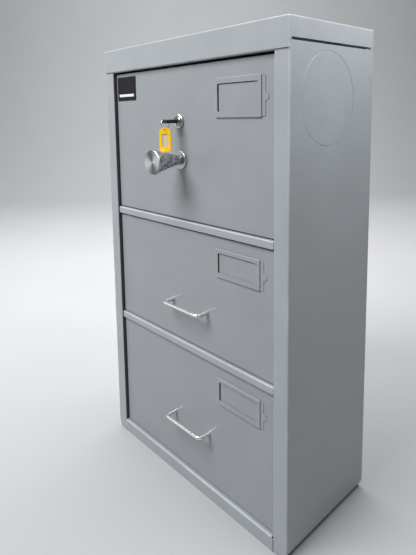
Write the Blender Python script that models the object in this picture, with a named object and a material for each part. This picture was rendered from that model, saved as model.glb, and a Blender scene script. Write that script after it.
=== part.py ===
"""Three-drawer steel security cabinet with a key lock and a turning knob on its top drawer.

Metres, +Z up. The front faces -Y and +X is to the right seen from the front. The origin is at
the middle of the footprint, on the floor. A "depth" below is always counted from the front
plane of the two stiles towards the back, so a negative depth stands out in front of them.
"""
import math

import bmesh
import bpy
from mathutils import Vector

# ---------------------------------------------------------------- driving dimensions
HEIGHT = 1.000
WIDTH = 0.554
DEPTH = 0.278

SHEET = 0.002            # wall of the cabinet shell, cap, fronts and rails
THIN = 0.0015            # wall of the trays, runners and the dividing plate
SEAT = 0.0003            # gap left between pieces that rest on each other
RUNNING = 0.00005        # radial clearance of a shaft in its bearing

STILE = 0.0315           # width of a stile seen from the front
STILE_RETURN = 0.020     # how far a stile's edge is folded back
CORNER = 0.020           # radius of the shell's two bottom edges
EDGE = 0.004             # radius of the folded outer edges

CAP_LIP = 0.052          # height of the cap's front
CAP_BAND = 0.0350        # height of the cap's sides and back
CAP_PROUD = 0.0025       # how far the cap stands in front of the stiles
CAP_NOSE = 0.005         # depth at which the shadow gap under the cap starts
SHADOW_GAP = 0.0047      # shadow gap between the cap's band and the shell
CAP_RING_INSET = 0.010   # from the cap's side to the ring that it stands on
CAP_FOOT = 0.005         # size of the two rear spacer feet in the shadow gap
TOP_FOLD = 0.025         # width of the shell's inward fold under the cap
HEADER_DROP = 0.002      # from the cap's lower lip to the opening's top edge
LIP_GAP = 0.006          # dark gap between the cap's lip and the top front

PLINTH = 0.030           # height of the plinth
PLINTH_DEPTH = 0.034
PLINTH_SEAM = 0.0010     # open seam at the plinth's right end
PANEL_GAP = 0.0022       # gap above and below a drawer front
PANEL_SIDE_GAP = 0.004   # gap between a drawer front and a stile
PANEL_RECESS = 0.008     # depth of the drawer fronts' faces
PANEL_THICK = 0.026      # depth of a drawer front's folded edge
PANEL_EDGE = 0.0015      # radius of a drawer front's edges
BOTTOM_FRONT = 0.2855    # height of the bottom drawer's front
MIDDLE_FRONT = 0.2562    # height of the middle drawer's front
RAIL = 0.0168            # height of a rail between two drawers
RAIL_SETBACK = 0.002     # depth of a rail's face
RAIL_END_GAP = 0.0018    # gap between a rail's face and a stile
RAIL_DEPTH = 0.012       # depth of the rail's tail behind the stiles' folds
RAIL_EDGE = 0.003

BACK_FLANGE = 0.016      # folded edge of the back panel
COVER_R = 0.0854         # round blanking cover in the right side
COVER_GAP = 0.0004       # gap round the cover
COVER_DEPTH = 0.118      # place of the cover's centre
COVER_BELOW_TOP = 0.136
COVER_RIM = 0.007        # how far the cover's inner flange overlaps the wall

TRAY_SIDE_ROOM = 0.0165  # from a stile's edge to a tray's side
TRAY_BACK_ROOM = 0.028   # from a tray's back to the cabinet's back
TRAY_LIFT = 0.010        # from a front's lower edge to its tray's floor
# From the top of each drawer's front down to its tray's sides
TRAY_DROP = {"top": 0.136, "middle": 0.096, "bottom": 0.106}

RUNNER_START = 0.002     # from a tray's front wall to its runners
RUNNER_LIFT = 0.035      # from a tray's floor to the middle of its runners
RUNNER_HEIGHT = 0.034
RUNNER_OUT = 0.0160      # from a tray's side to the outer face of the fixed runner
RUNNER_OVERLAP = 0.0045  # from a tray's side to the fixed runner's flanges
RUNNER_BACK_ROOM = 0.032 # from a fixed runner's end to the cabinet's back
MEMBER_SHORTER = 0.010   # how much shorter the drawer's runner is
STANDOFF = 0.020         # length of a runner's two mounting feet

LOCK_X = -0.0105
LOCK_BELOW_TOP = 0.172
ROSETTE = 0.005          # thickness of both rosettes
LOCK_ROSETTE_R = 0.015
HOUSING_R = 0.009
PLUG_R = 0.007
HOUSING_END = 0.025
SPIGOT_R = 0.004
SPIGOT_END = 0.030
NUT_R = 0.014
NUT_THICK = 0.006
TONGUE_LENGTH = 0.040
TONGUE_WIDTH = 0.014
TONGUE_THICK = 0.003
BLADE_WIDTH = 0.0084
BLADE_THICK = 0.0020
BLADE_IN = 0.0195        # depth of the key blade's tip
BOW_TIP = -0.0342
BOW_START = -0.0012
BOW_WIDTH = 0.022
BOW_THICK = 0.0075
BOW_POCKET = 0.008
BOW_BRIDGE = 0.0046      # bow left between its eye and its tip
EYE_WIDTH = 0.0124
EYE_LENGTH = 0.0096

RING_R = 0.0105
RING_WIRE_R = 0.0006
TAG_HEIGHT = 0.050
TAG_WIDTH = 0.025
TAG_THICK = 0.003
TAG_TOP_R = 0.0105
TAG_BOTTOM_R = 0.006
TAG_HOLE_R = 0.0026
TAG_HOLE_IN = 0.0052     # from the tag's top to the middle of its hole
TAG_SAG = 0.0006         # room between the ring's wire and the top of the hole
TAG_TURN = math.radians(32)
CARD_WIDTH = 0.0140
CARD_HEIGHT = 0.0290
CARD_LIFT = 0.0080
CARD_THICK = 0.0012

KNOB_X = -0.0080
KNOB_BELOW_TOP = 0.254
KNOB_ROSETTE_R = 0.020
KNOB_NECK_R = 0.0105
KNOB_FACE_R = 0.0255
KNOB_LENGTH = 0.0735
KNOB_BORE = 0.019
SPINDLE_R = 0.006
CAM_R = 0.033
CAM_START = 0.0145
CAM_THICK = 0.004
PIN_R = 0.0025
PIN_IN = 0.012           # radius at which a bolt's pin rides with the bolts withdrawn
BOLT_THROW = 0.014
KNOB_TURN = math.radians(90)
BOLT_FRONT = 0.022
BOLT_THICK = 0.006
BOLT_HALF = 0.008
BOLT_TAIL = 0.006        # bolt left inside of its pin
BOLT_SLOT_ROOM = 0.0005
GUIDE_IN = 0.0215        # from a front's side edge to a bolt guide
GUIDE_LENGTH = 0.015
GUIDE_HALF = 0.014
STRIKE_HALF = 0.020
STRIKE_FLANGE = 0.014

BADGE_SIZE = (0.0735, 0.056)
BADGE_IN = (0.005, 0.008)
BADGE_THICK = 0.0012

LABEL_WIDTH = 0.114
LABEL_PROUD = 0.003
LABEL_WALL = 0.0015
LABEL_FACE = 0.0012
LABEL_STICKS_OUT = 0.0078
TAB_R = 0.0075
LABEL_CORNER = 0.003
# For each drawer: from the front's right and top edges to the frame, the frame's height, and
# the margins of its window, counted left, below, right and above
LABELS = {
    "top": (0.0278, 0.0320, 0.0760, (0.0060, 0.0110, 0.0080, 0.0110)),
    "middle": (0.0323, 0.0233, 0.0598, (0.0067, 0.0095, 0.0062, 0.0085)),
    "bottom": (0.0323, 0.0242, 0.0589, (0.0062, 0.0095, 0.0062, 0.0085)),
}

PULL_X = 0.011
PULL_CENTRES = 0.110
PULL_R = 0.004
PULL_OUT = 0.0295        # from a drawer front to the middle of the bar
PULL_BEND = 0.008
# From the lower edge of each pull's front up to the pull
PULL_LIFT = {"middle": 0.0866, "bottom": 0.1178}
SCREW_R = 0.0018
SCREW_ROOM = 0.0004
SCREW_IN = 0.011
SCREW_HEAD_R = 0.004
SCREW_HEAD = 0.0022

FINE = 48                # sides of a bearing
ROUND = 32               # sides of a small round piece

# ---------------------------------------------------------------- places worked out from them
FRONT_Y = -DEPTH / 2
SIDE = WIDTH / 2
OPENING = SIDE - STILE
PANEL_HALF = OPENING - PANEL_SIDE_GAP
WALL_IN = SIDE - SHEET
CAP_LOW = HEIGHT - CAP_LIP
SHELL_TOP = HEIGHT - CAP_BAND - SHADOW_GAP
HEADER = CAP_LOW - HEADER_DROP
PANEL_BACK = PANEL_RECESS + PANEL_THICK
TRAY_START = PANEL_BACK + SEAT
LOWER_RAIL = PLINTH + PANEL_GAP + BOTTOM_FRONT + PANEL_GAP
UPPER_RAIL = LOWER_RAIL + RAIL + PANEL_GAP + MIDDLE_FRONT + PANEL_GAP
FRONTS = {
    "top": (UPPER_RAIL + RAIL + PANEL_GAP, CAP_LOW - LIP_GAP),
    "middle": (LOWER_RAIL + RAIL + PANEL_GAP, UPPER_RAIL - PANEL_GAP),
    "bottom": (PLINTH + PANEL_GAP, LOWER_RAIL - PANEL_GAP),
}
TRAY_HALF = OPENING - TRAY_SIDE_ROOM
TRAY_END = DEPTH - TRAY_BACK_ROOM
RUNNER_END = DEPTH - RUNNER_BACK_ROOM
PULL_HEIGHT = {drawer: FRONTS[drawer][0] + lift for drawer, lift in PULL_LIFT.items()}
LOCK_Z = HEIGHT - LOCK_BELOW_TOP
KNOB_Z = HEIGHT - KNOB_BELOW_TOP
ROSETTE_FACE = PANEL_RECESS - SEAT - ROSETTE
RAIL_TAIL = STILE_RETURN + SEAT


# ---------------------------------------------------------------- materials
def material(name, colour, roughness, metallic):
    made = bpy.data.materials.new(name)
    made.use_nodes = True
    shader = made.node_tree.nodes["Principled BSDF"]
    shader.inputs["Base Color"].default_value = (*colour, 1.0)
    shader.inputs["Roughness"].default_value = roughness
    shader.inputs["Metallic"].default_value = metallic
    made.diffuse_color = (*colour, 1.0)
    return made


FINISHES = {
    "grey_paint": ((0.36, 0.38, 0.40), 0.42, 0.0),
    "inner_paint": ((0.30, 0.32, 0.34), 0.5, 0.0),
    "zinc_steel": ((0.62, 0.62, 0.60), 0.38, 1.0),
    "bright_steel": ((0.72, 0.72, 0.72), 0.22, 1.0),
    "cast_aluminium": ((0.52, 0.52, 0.54), 0.45, 1.0),
    "brass": ((0.72, 0.56, 0.27), 0.3, 1.0),
    "black_plastic": ((0.02, 0.02, 0.022), 0.3, 0.0),
    "yellow_plastic": ((0.83, 0.52, 0.01), 0.35, 0.0),
    "card": ((0.55, 0.45, 0.28), 0.8, 0.0),
    "black_label": ((0.02, 0.02, 0.02), 0.4, 0.0),
}


# ---------------------------------------------------------------- shapes
def at_depth(depth):
    return FRONT_Y + depth


def solid(name, mesh):
    """Makes an object of a bmesh, with its faces turned outwards."""
    bmesh.ops.recalc_face_normals(mesh, faces=mesh.faces)
    data = bpy.data.meshes.new(name)
    mesh.to_mesh(data)
    mesh.free()
    made = bpy.data.objects.new(name, data)
    bpy.context.scene.collection.objects.link(made)
    return made


def prism(name, outline, axis, low, high):
    """Carries a flat outline along an axis. The outline holds the other two coordinates in order."""
    def spot(pair, level):
        a, b = pair
        return {"X": (level, a, b), "Y": (a, level, b), "Z": (a, b, level)}[axis]

    mesh = bmesh.new()
    ends = [[mesh.verts.new(spot(pair, level)) for pair in outline] for level in (low, high)]
    count = len(outline)
    for end in ends:
        mesh.faces.new(end)
    for i in range(count):
        j = (i + 1) % count
        mesh.faces.new((ends[0][i], ends[0][j], ends[1][j], ends[1][i]))
    return solid(name, mesh)


def block(name, x, depth, z):
    """A box between two values of x, of depth and of z."""
    outline = [(x[0], z[0]), (x[1], z[0]), (x[1], z[1]), (x[0], z[1])]
    return prism(name, outline, "Y", at_depth(depth[0]), at_depth(depth[1]))


def turned(name, x, z, profile, sides=ROUND):
    """Turns a profile of (depth, radius) about a line along Y. A chain that ends on the line is
    a solid, and any other is a closed loop, which gives a ring."""
    mesh = bmesh.new()
    rings = []
    for depth, radius in profile:
        turns = [2 * math.pi * (i + 0.5) / sides for i in range(sides)] if radius else [0.0]
        rings.append([
            mesh.verts.new((x + radius * math.cos(t), at_depth(depth), z + radius * math.sin(t)))
            for t in turns
        ])
    is_loop = len(rings[0]) > 1
    pairs = zip(rings, rings[1:] + rings[:1]) if is_loop else zip(rings, rings[1:])
    for one, two in pairs:
        for i in range(sides):
            j = (i + 1) % sides
            corners = [one[i % len(one)], one[j % len(one)], two[j % len(two)], two[i % len(two)]]
            mesh.faces.new(list(dict.fromkeys(corners)))
    return solid(name, mesh)


def bore_radius(shaft_radius, sides=FINE, clearance=RUNNING):
    """The corner radius of a many-sided bore whose flats clear a turning shaft."""
    return (shaft_radius + clearance) / math.cos(math.pi / sides)


def arc(centre, radius, start, end, steps):
    """Points on a circle's arc, with the angles in degrees."""
    turns = [math.radians(start + (end - start) * i / steps) for i in range(steps + 1)]
    return [(centre[0] + radius * math.cos(t), centre[1] + radius * math.sin(t)) for t in turns]


def shell_outline(inset, top, radius=CORNER):
    """The cabinet seen from the front: square above, with rounded bottom corners."""
    half = SIDE - inset
    turn = radius - inset
    left = arc((-half + turn, inset + turn), turn, 180, 270, 6)
    right = arc((half - turn, inset + turn), turn, 270, 360, 6)
    return left + right + [(half, top), (-half, top)]


def swept(name, path, radius, sides, closed=False):
    """Carries a round section along a path that lies in one plane along Y."""
    mesh = bmesh.new()
    count = len(path)
    plane = (path[1] - path[0]).cross(path[count // 2] - path[0]).normalized()
    rings = []
    for i, point in enumerate(path):
        before = path[i - 1] if i or closed else point
        after = path[(i + 1) % count] if i < count - 1 or closed else point
        along = (after - before).normalized()
        out = plane.cross(along)
        rings.append([
            mesh.verts.new(point + radius * (math.cos(t) * out + math.sin(t) * plane))
            for t in (2 * math.pi * k / sides for k in range(sides))
        ])
    pairs = zip(rings, rings[1:] + rings[:1]) if closed else zip(rings, rings[1:])
    for one, two in pairs:
        for k in range(sides):
            m = (k + 1) % sides
            mesh.faces.new((one[k], one[m], two[m], two[k]))
    if not closed:
        mesh.faces.new(rings[0])
        mesh.faces.new(rings[-1])
    return solid(name, mesh)


def round_edges(made, radius, chosen, steps=3):
    """Rounds the edges whose two ends both satisfy a test."""
    mesh = bmesh.new()
    mesh.from_mesh(made.data)
    edges = [e for e in mesh.edges if all(chosen(v.co) for v in e.verts)]
    bmesh.ops.bevel(
        mesh, geom=edges, offset=radius, offset_type="OFFSET", segments=steps, profile=0.5,
        affect="EDGES", clamp_overlap=True)
    mesh.to_mesh(made.data)
    mesh.free()


def carve(made, tools, operation="DIFFERENCE"):
    """Cuts the tools out of a piece, or joins them to it, and clears the tools away."""
    for tool in tools:
        step = made.modifiers.new(tool.name, "BOOLEAN")
        step.operation = operation
        step.solver = "EXACT"
        step.object = tool
    graph = bpy.context.evaluated_depsgraph_get()
    shaped = bpy.data.meshes.new_from_object(made.evaluated_get(graph))
    made.modifiers.clear()
    made.data = shaped
    for tool in tools:
        bpy.data.objects.remove(tool, do_unlink=True)
    return made


def join(made, tools):
    return carve(made, tools, "UNION")


def near(a, b):
    return abs(a - b) < 1e-6


# ---------------------------------------------------------------- the cabinet
def body_shell():
    """One sheet folded round both sides and the bottom, with the stiles folded in at the front."""
    made = prism("body_shell", shell_outline(0, SHELL_TOP), "Y", FRONT_Y, at_depth(DEPTH))
    round_edges(made, EDGE, lambda p: near(p.y, FRONT_Y) and p.z < SHELL_TOP + EDGE)
    cavity = prism(
        "cavity", shell_outline(SHEET, SHELL_TOP - SHEET), "Y", at_depth(SHEET), at_depth(DEPTH + SHEET))
    opening = block("opening", (-OPENING, OPENING), (-SHEET, SHEET + SEAT), (-SHEET, HEADER))
    top = block(
        "top_opening", (TOP_FOLD - SIDE, SIDE - TOP_FOLD), (TOP_FOLD, DEPTH - TOP_FOLD),
        (SHELL_TOP - 2 * SHEET, SHELL_TOP + SHEET))
    hole = prism("cover_hole", cover_circle(COVER_R + COVER_GAP), "X", WALL_IN - SHEET, SIDE + SHEET)
    carve(made, [cavity, opening, top, hole])
    folds = [
        block("left_fold", (-OPENING - SHEET, -OPENING), (EDGE, STILE_RETURN), (SHEET / 2, HEADER + SHEET)),
        block("right_fold", (OPENING, OPENING + SHEET), (EDGE, STILE_RETURN), (SHEET / 2, HEADER + SHEET)),
        block("left_edge", (-OPENING - SHEET, -OPENING), (SHEET / 2, EDGE + SHEET), (SHEET / 2, HEADER)),
        block("right_edge", (OPENING, OPENING + SHEET), (SHEET / 2, EDGE + SHEET), (SHEET / 2, HEADER)),
        block("header_fold", (-OPENING - SHEET / 2, OPENING + SHEET / 2), (SHEET / 2, STILE_RETURN),
              (HEADER, HEADER + SHEET)),
    ]
    return join(made, folds)


def cover_circle(radius):
    """A circle in the right side, seen along X."""
    centre = (at_depth(COVER_DEPTH), HEIGHT - COVER_BELOW_TOP)
    return arc(centre, radius, 0, 360, 2 * FINE)[:-1]


def side_cover():
    """Flush round cover with a wider flange that rests on the inside of the wall."""
    made = prism("side_cover", cover_circle(COVER_R), "X", WALL_IN - SEAT - THIN / 2, SIDE)
    flange = prism("flange", cover_circle(COVER_R + COVER_RIM), "X", WALL_IN - SEAT - THIN, WALL_IN - SEAT)
    return join(made, [flange])


def back_panel():
    """Tray-shaped back, let in between the shell's walls with its folded edge forwards."""
    outer = SHEET + SEAT
    top = SHELL_TOP - outer
    made = prism(
        "back_panel", shell_outline(outer, top), "Y", at_depth(DEPTH - BACK_FLANGE), at_depth(DEPTH))
    inside = prism(
        "inside", shell_outline(outer + SHEET, top - SHEET), "Y",
        at_depth(DEPTH - 2 * BACK_FLANGE), at_depth(DEPTH - SHEET))
    return carve(made, [inside])


def top_cap():
    """Folded lid with a deep front, which stands on an inner ring above a shadow gap."""
    band_low = HEIGHT - CAP_BAND
    rest = SHELL_TOP + SEAT
    front = at_depth(-CAP_PROUD)
    outline = [
        (front, CAP_LOW), (front, HEIGHT), (at_depth(DEPTH), HEIGHT), (at_depth(DEPTH), band_low),
        (at_depth(CAP_NOSE), band_low), (at_depth(CAP_NOSE), rest), (at_depth(-SEAT), rest),
        (at_depth(-SEAT), CAP_LOW),
    ]
    made = prism("top_cap", outline, "X", -SIDE, SIDE)
    round_edges(made, CAP_PROUD - 2 * SEAT, lambda p: near(p.z, HEIGHT) or near(p.y, front))
    start, end = CAP_NOSE + SHEET, DEPTH - SHEET
    tray = block("tray", (SHEET - SIDE, SIDE - SHEET), (start, end), (SHELL_TOP, HEIGHT - SHEET))
    carve(made, [tray])
    inset = CAP_RING_INSET
    high = HEIGHT - SHEET / 2
    ring = block("ring", (inset - SIDE, SIDE - inset), (start + inset, DEPTH - inset), (rest, high))
    feet = []
    for side in (-1, 1):
        x = sorted((side * (SIDE - SEAT), side * (SIDE - CAP_FOOT)))
        feet.append(block(f"foot_{side}", x, (DEPTH - 2 * CAP_FOOT, DEPTH - CAP_FOOT), (rest, high)))
    join(made, [ring] + feet)
    inset += SHEET
    hollow = block(
        "hollow", (inset - SIDE, SIDE - inset), (start + inset, DEPTH - inset), (SHELL_TOP, HEIGHT - SHEET))
    return carve(made, [hollow])


def plinth():
    """Channel across the foot of the opening, with a rounded ledge on top."""
    foot = SHEET + SEAT
    front, back, top = FRONT_Y, at_depth(PLINTH_DEPTH), PLINTH
    outline = [
        (front, 0), (front, top), (back, top), (back, foot), (back - SHEET, foot),
        (back - SHEET, top - SHEET), (front + SHEET, top - SHEET), (front + SHEET, 0),
    ]
    made = prism("plinth", outline, "X", -OPENING + SEAT, OPENING - PLINTH_SEAM)
    round_edges(made, EDGE, lambda p: near(p.y, front) and near(p.z, top), 4)
    round_edges(made, SHEET, lambda p: near(p.y, front + SHEET) and near(p.z, top - SHEET), 3)
    return made


def rail(name, low):
    """Channel between two drawers: a face between the stiles and a wider tail behind them."""
    face = OPENING - RAIL_END_GAP
    tail = WALL_IN - SEAT
    outline = [
        (-face, at_depth(RAIL_SETBACK)), (face, at_depth(RAIL_SETBACK)), (face, at_depth(RAIL_TAIL)),
        (tail, at_depth(RAIL_TAIL)), (tail, at_depth(RAIL_TAIL + RAIL_DEPTH)),
        (-tail, at_depth(RAIL_TAIL + RAIL_DEPTH)), (-tail, at_depth(RAIL_TAIL)), (-face, at_depth(RAIL_TAIL)),
    ]
    made = prism(name, outline, "Z", low, low + RAIL)
    round_edges(made, RAIL_EDGE, lambda p: near(p.y, at_depth(RAIL_SETBACK)))
    hollow = block(
        "hollow", (RAIL_EDGE - face, face - RAIL_EDGE),
        (RAIL_SETBACK + SHEET, RAIL_TAIL + RAIL_DEPTH + SHEET), (low + SHEET, low + RAIL - SHEET))
    return carve(made, [hollow])


def dividing_plate():
    """Floor of the locked compartment, folded down along both side walls."""
    half = WALL_IN - SEAT
    start = RAIL_TAIL + RAIL_DEPTH + SEAT
    end = DEPTH - BACK_FLANGE - SEAT
    high = UPPER_RAIL + RAIL / 2
    low = high - RAIL
    made = block("dividing_plate", (-half, half), (start, end), (low, high))
    under = block("under", (THIN - half, half - THIN), (start - THIN, end + THIN), (low - THIN, high - THIN))
    return carve(made, [under])


# ---------------------------------------------------------------- runners
def runner_height(drawer):
    return FRONTS[drawer][0] + TRAY_LIFT + RUNNER_LIFT


def channel(name, side, web, open_at, height, z, depths):
    """A C-shaped rail: a web at one value of |x| and two flanges that reach the other."""
    step = math.copysign(THIN, open_at - web)
    top = z + height / 2
    low = z - height / 2
    outline = [
        (web, low), (open_at, low), (open_at, low + THIN), (web + step, low + THIN),
        (web + step, top - THIN), (open_at, top - THIN), (open_at, top), (web, top),
    ]
    outline = [(side * x, height_at) for x, height_at in outline]
    return prism(name, outline, "Y", at_depth(depths[0]), at_depth(depths[1]))


def fixed_runner(name, drawer, side):
    """The cabinet's half of a slide, on two feet that reach the side wall."""
    z = runner_height(drawer)
    web = TRAY_HALF + RUNNER_OUT
    start = TRAY_START + THIN + RUNNER_START
    made = channel(name, side, web, TRAY_HALF + RUNNER_OVERLAP, RUNNER_HEIGHT, z, (start, RUNNER_END))
    reach = sorted((side * (web - THIN / 2), side * (WALL_IN - SEAT)))
    foot_z = (z - RUNNER_HEIGHT / 4, z + RUNNER_HEIGHT / 4)
    feet = [
        block(f"foot_{start_at}", reach, (start_at, start_at + STANDOFF), foot_z)
        for start_at in (start + THIN, RUNNER_END - THIN - STANDOFF)
    ]
    return join(made, feet)


def drawer_runner(name, drawer, side):
    """The drawer's half of a slide, nested in the fixed half."""
    height = RUNNER_HEIGHT - 2 * THIN - 2 * SEAT
    outer = TRAY_HALF + RUNNER_OUT - THIN - SEAT
    depths = (TRAY_START + THIN + SEAT, RUNNER_END - MEMBER_SHORTER)
    return channel(name, side, TRAY_HALF + SEAT, outer, height, runner_height(drawer), depths)


# ---------------------------------------------------------------- drawers
def drawer_front(name, drawer):
    """Pan-shaped steel front, open towards the tray."""
    low, high = FRONTS[drawer]
    made = block(name, (-PANEL_HALF, PANEL_HALF), (PANEL_RECESS, PANEL_BACK), (low, high))
    round_edges(made, PANEL_EDGE, lambda p: near(p.y, at_depth(PANEL_RECESS)), 2)
    inside = block(
        "inside", (SHEET - PANEL_HALF, PANEL_HALF - SHEET),
        (PANEL_RECESS + SHEET, PANEL_BACK + SHEET), (low + SHEET, high - SHEET))
    return carve(made, [inside])


def front_hole(name, x, z, radius):
    depths = (PANEL_RECESS - SHEET, PANEL_RECESS + 2 * SHEET)
    return turned(name, x, z, [(depths[0], 0), (depths[0], radius), (depths[1], radius), (depths[1], 0)])


def top_front():
    """The locked drawer's front, pierced for the lock, the spindle and the two bolts."""
    made = drawer_front("top_front", "top")
    tools = [
        front_hole("lock_hole", LOCK_X, LOCK_Z, HOUSING_R + SEAT),
        front_hole("spindle_hole", KNOB_X, KNOB_Z, SPINDLE_R + 2 * SEAT),
    ]
    reach = BOLT_HALF + BOLT_SLOT_ROOM
    for side in (-1, 1):
        tools.append(block(
            f"bolt_slot_{side}", sorted((side * (PANEL_HALF - 2 * SHEET), side * (PANEL_HALF + SHEET))),
            (BOLT_FRONT - BOLT_SLOT_ROOM, BOLT_FRONT + BOLT_THICK + BOLT_SLOT_ROOM),
            (KNOB_Z - reach, KNOB_Z + reach)))
    return carve(made, tools)


def pull_front(drawer):
    """A lower drawer's front, drilled for the two screws of its pull."""
    made = drawer_front(f"{drawer}_front", drawer)
    tools = [
        front_hole(f"screw_hole_{i}", x, PULL_HEIGHT[drawer], SCREW_R + SCREW_ROOM)
        for i, x in enumerate(pull_legs())
    ]
    return carve(made, tools)


def tray(name, drawer):
    """Open box behind a front, with a front wall that closes the whole back of the front."""
    low, high = FRONTS[drawer]
    floor = low + TRAY_LIFT
    side_top = high - TRAY_DROP[drawer]
    made = block(name, (-TRAY_HALF, TRAY_HALF), (TRAY_START, TRAY_END), (floor, side_top))
    inside = block(
        "inside", (THIN - TRAY_HALF, TRAY_HALF - THIN), (TRAY_START + THIN, TRAY_END - THIN),
        (floor + THIN, side_top + THIN))
    carve(made, [inside])
    wall = block(
        "wall", (SEAT - PANEL_HALF, PANEL_HALF - SEAT), (TRAY_START, TRAY_START + THIN),
        (low + SEAT, high - SEAT))
    return join(made, [wall])


def label_place(drawer):
    """Left edge, lower edge and height of a drawer's label frame, and its window's margins."""
    from_right, from_top, height, margins = LABELS[drawer]
    left = PANEL_HALF - from_right - LABEL_WIDTH
    return left, FRONTS[drawer][1] - from_top - height, height, margins


def label_frame(name, drawer):
    """Raised frame with a window, open at its right end and towards the front it sits on."""
    left, low, height, margins = label_place(drawer)
    right = left + LABEL_WIDTH
    back = PANEL_RECESS - SEAT
    face = back - LABEL_PROUD
    made = block(name, (left, right), (face, back), (low, low + height))
    round_edges(made, LABEL_FACE / 2, lambda p: near(p.y, at_depth(face)), 2)
    slot = block(
        "slot", (left + LABEL_WALL, right + LABEL_WALL), (face + LABEL_FACE, back + LABEL_WALL),
        (low + LABEL_WALL, low + height - LABEL_WALL))
    window = block(
        "window", (left + margins[0], right - margins[2]), (face - LABEL_FACE, back),
        (low + margins[1], low + height - margins[3]))
    return carve(made, [slot, window])


def label_insert(name, drawer):
    """Plate that slides in the frame, with a rounded corner and a thumb tab at its right."""
    left, low, height, _ = label_place(drawer)
    inner = LABEL_WALL + SEAT
    x0, x1 = left + inner, left + LABEL_WIDTH + LABEL_STICKS_OUT
    z0, z1 = low + inner, low + height - inner
    middle = low + height / 2 - LABEL_CORNER / 2
    outline = [(x0, z1), (x0, z0)]
    outline += arc((x1 - LABEL_CORNER, z0 + LABEL_CORNER), LABEL_CORNER, -90, 0, 4)
    outline += arc((x1, middle), TAB_R, -90, 90, 8)
    outline += arc((x1 - LABEL_CORNER, z1 - LABEL_CORNER), LABEL_CORNER, 0, 90, 4)
    back = PANEL_RECESS - SEAT
    front = back - LABEL_PROUD + LABEL_FACE + SEAT
    return prism(name, outline, "Y", at_depth(front), at_depth(back))


def pull_legs():
    return (PULL_X - PULL_CENTRES / 2, PULL_X + PULL_CENTRES / 2)


def bar_pull(name, drawer):
    """Steel wire bent into a square bow, with a screw hole up each leg."""
    z = PULL_HEIGHT[drawer]
    left, right = pull_legs()
    start = at_depth(PANEL_RECESS - SEAT)
    bar = at_depth(PANEL_RECESS - PULL_OUT)
    turn = PULL_BEND
    flat = [(left, start)] + arc((left + turn, bar + turn), turn, 180, 270, 5)
    flat += arc((right - turn, bar + turn), turn, 270, 360, 5) + [(right, start)]
    made = swept(name, [Vector((x, y, z)) for x, y in flat], PULL_R, 16)
    end = PANEL_RECESS - SCREW_IN
    radius = SCREW_R + SCREW_ROOM
    holes = [
        turned(f"hole_{i}", x, z, [(PANEL_RECESS, 0), (PANEL_RECESS, radius), (end, radius), (end, 0)], 16)
        for i, x in enumerate((left, right))
    ]
    return carve(made, holes)


def pull_screw(name, drawer, x):
    """Pan-head screw driven from inside the front into a leg of the pull."""
    seat = PANEL_RECESS + SHEET + SEAT
    tip = PANEL_RECESS - SCREW_IN + SCREW_ROOM
    profile = [
        (tip, 0), (tip, SCREW_R), (seat, SCREW_R), (seat, SCREW_HEAD_R),
        (seat + SCREW_HEAD / 2, SCREW_HEAD_R), (seat + SCREW_HEAD, SCREW_HEAD_R / 2),
        (seat + SCREW_HEAD, 0),
    ]
    return turned(name, x, PULL_HEIGHT[drawer], profile, 16)


def badge():
    """Plain black square label in the top front's upper left corner."""
    left = -PANEL_HALF + BADGE_IN[0]
    high = FRONTS["top"][1] - BADGE_IN[1]
    back = PANEL_RECESS - SEAT
    return block(
        "badge", (left, left + BADGE_SIZE[0]), (back - BADGE_THICK, back), (high - BADGE_SIZE[1], high))


# ---------------------------------------------------------------- the key lock
def ring_profile(start, end, inner, outer, chamfer):
    """Section of a ring whose front outer edge is chamfered."""
    return [(start, inner), (start, outer - chamfer), (start + chamfer, outer), (end, outer), (end, inner)]


def lock_rosette():
    profile = ring_profile(ROSETTE_FACE, PANEL_RECESS - SEAT, HOUSING_R + SEAT, LOCK_ROSETTE_R, 0.0015)
    return turned("lock_rosette", LOCK_X, LOCK_Z, profile, FINE)


def lock_housing():
    start = ROSETTE_FACE + SEAT
    profile = ring_profile(start, HOUSING_END, bore_radius(PLUG_R), HOUSING_R, SEAT)
    return turned("lock_housing", LOCK_X, LOCK_Z, profile, FINE)


def lock_nut():
    """Hexagon nut that clamps the lock behind the front."""
    start = at_depth(PANEL_RECESS + SHEET + SEAT)
    made = prism("lock_nut", arc((LOCK_X, LOCK_Z), NUT_R, 0, 300, 5), "Y", start, start + NUT_THICK)
    radius = HOUSING_R + SEAT
    ends = (PANEL_RECESS, PANEL_BACK)
    hole = turned("hole", LOCK_X, LOCK_Z, [(ends[0], 0), (ends[0], radius), (ends[1], radius), (ends[1], 0)], FINE)
    return carve(made, [hole])


def lock_plug():
    """Turning core of the lock, with a keyway in front and a spigot behind."""
    start = ROSETTE_FACE + 3 * SEAT
    step = HOUSING_END + SEAT
    profile = [
        (start, 0), (start, PLUG_R), (step, PLUG_R), (step, SPIGOT_R), (SPIGOT_END, SPIGOT_R), (SPIGOT_END, 0),
    ]
    made = turned("lock_plug", LOCK_X, LOCK_Z, profile, FINE)
    half_width = BLADE_WIDTH / 2 + SEAT
    half_height = BLADE_THICK / 2 + SEAT
    keyway = block(
        "keyway", (LOCK_X - half_width, LOCK_X + half_width), (start - SHEET, BLADE_IN + SEAT),
        (LOCK_Z - half_height, LOCK_Z + half_height))
    return carve(made, [keyway])


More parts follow.
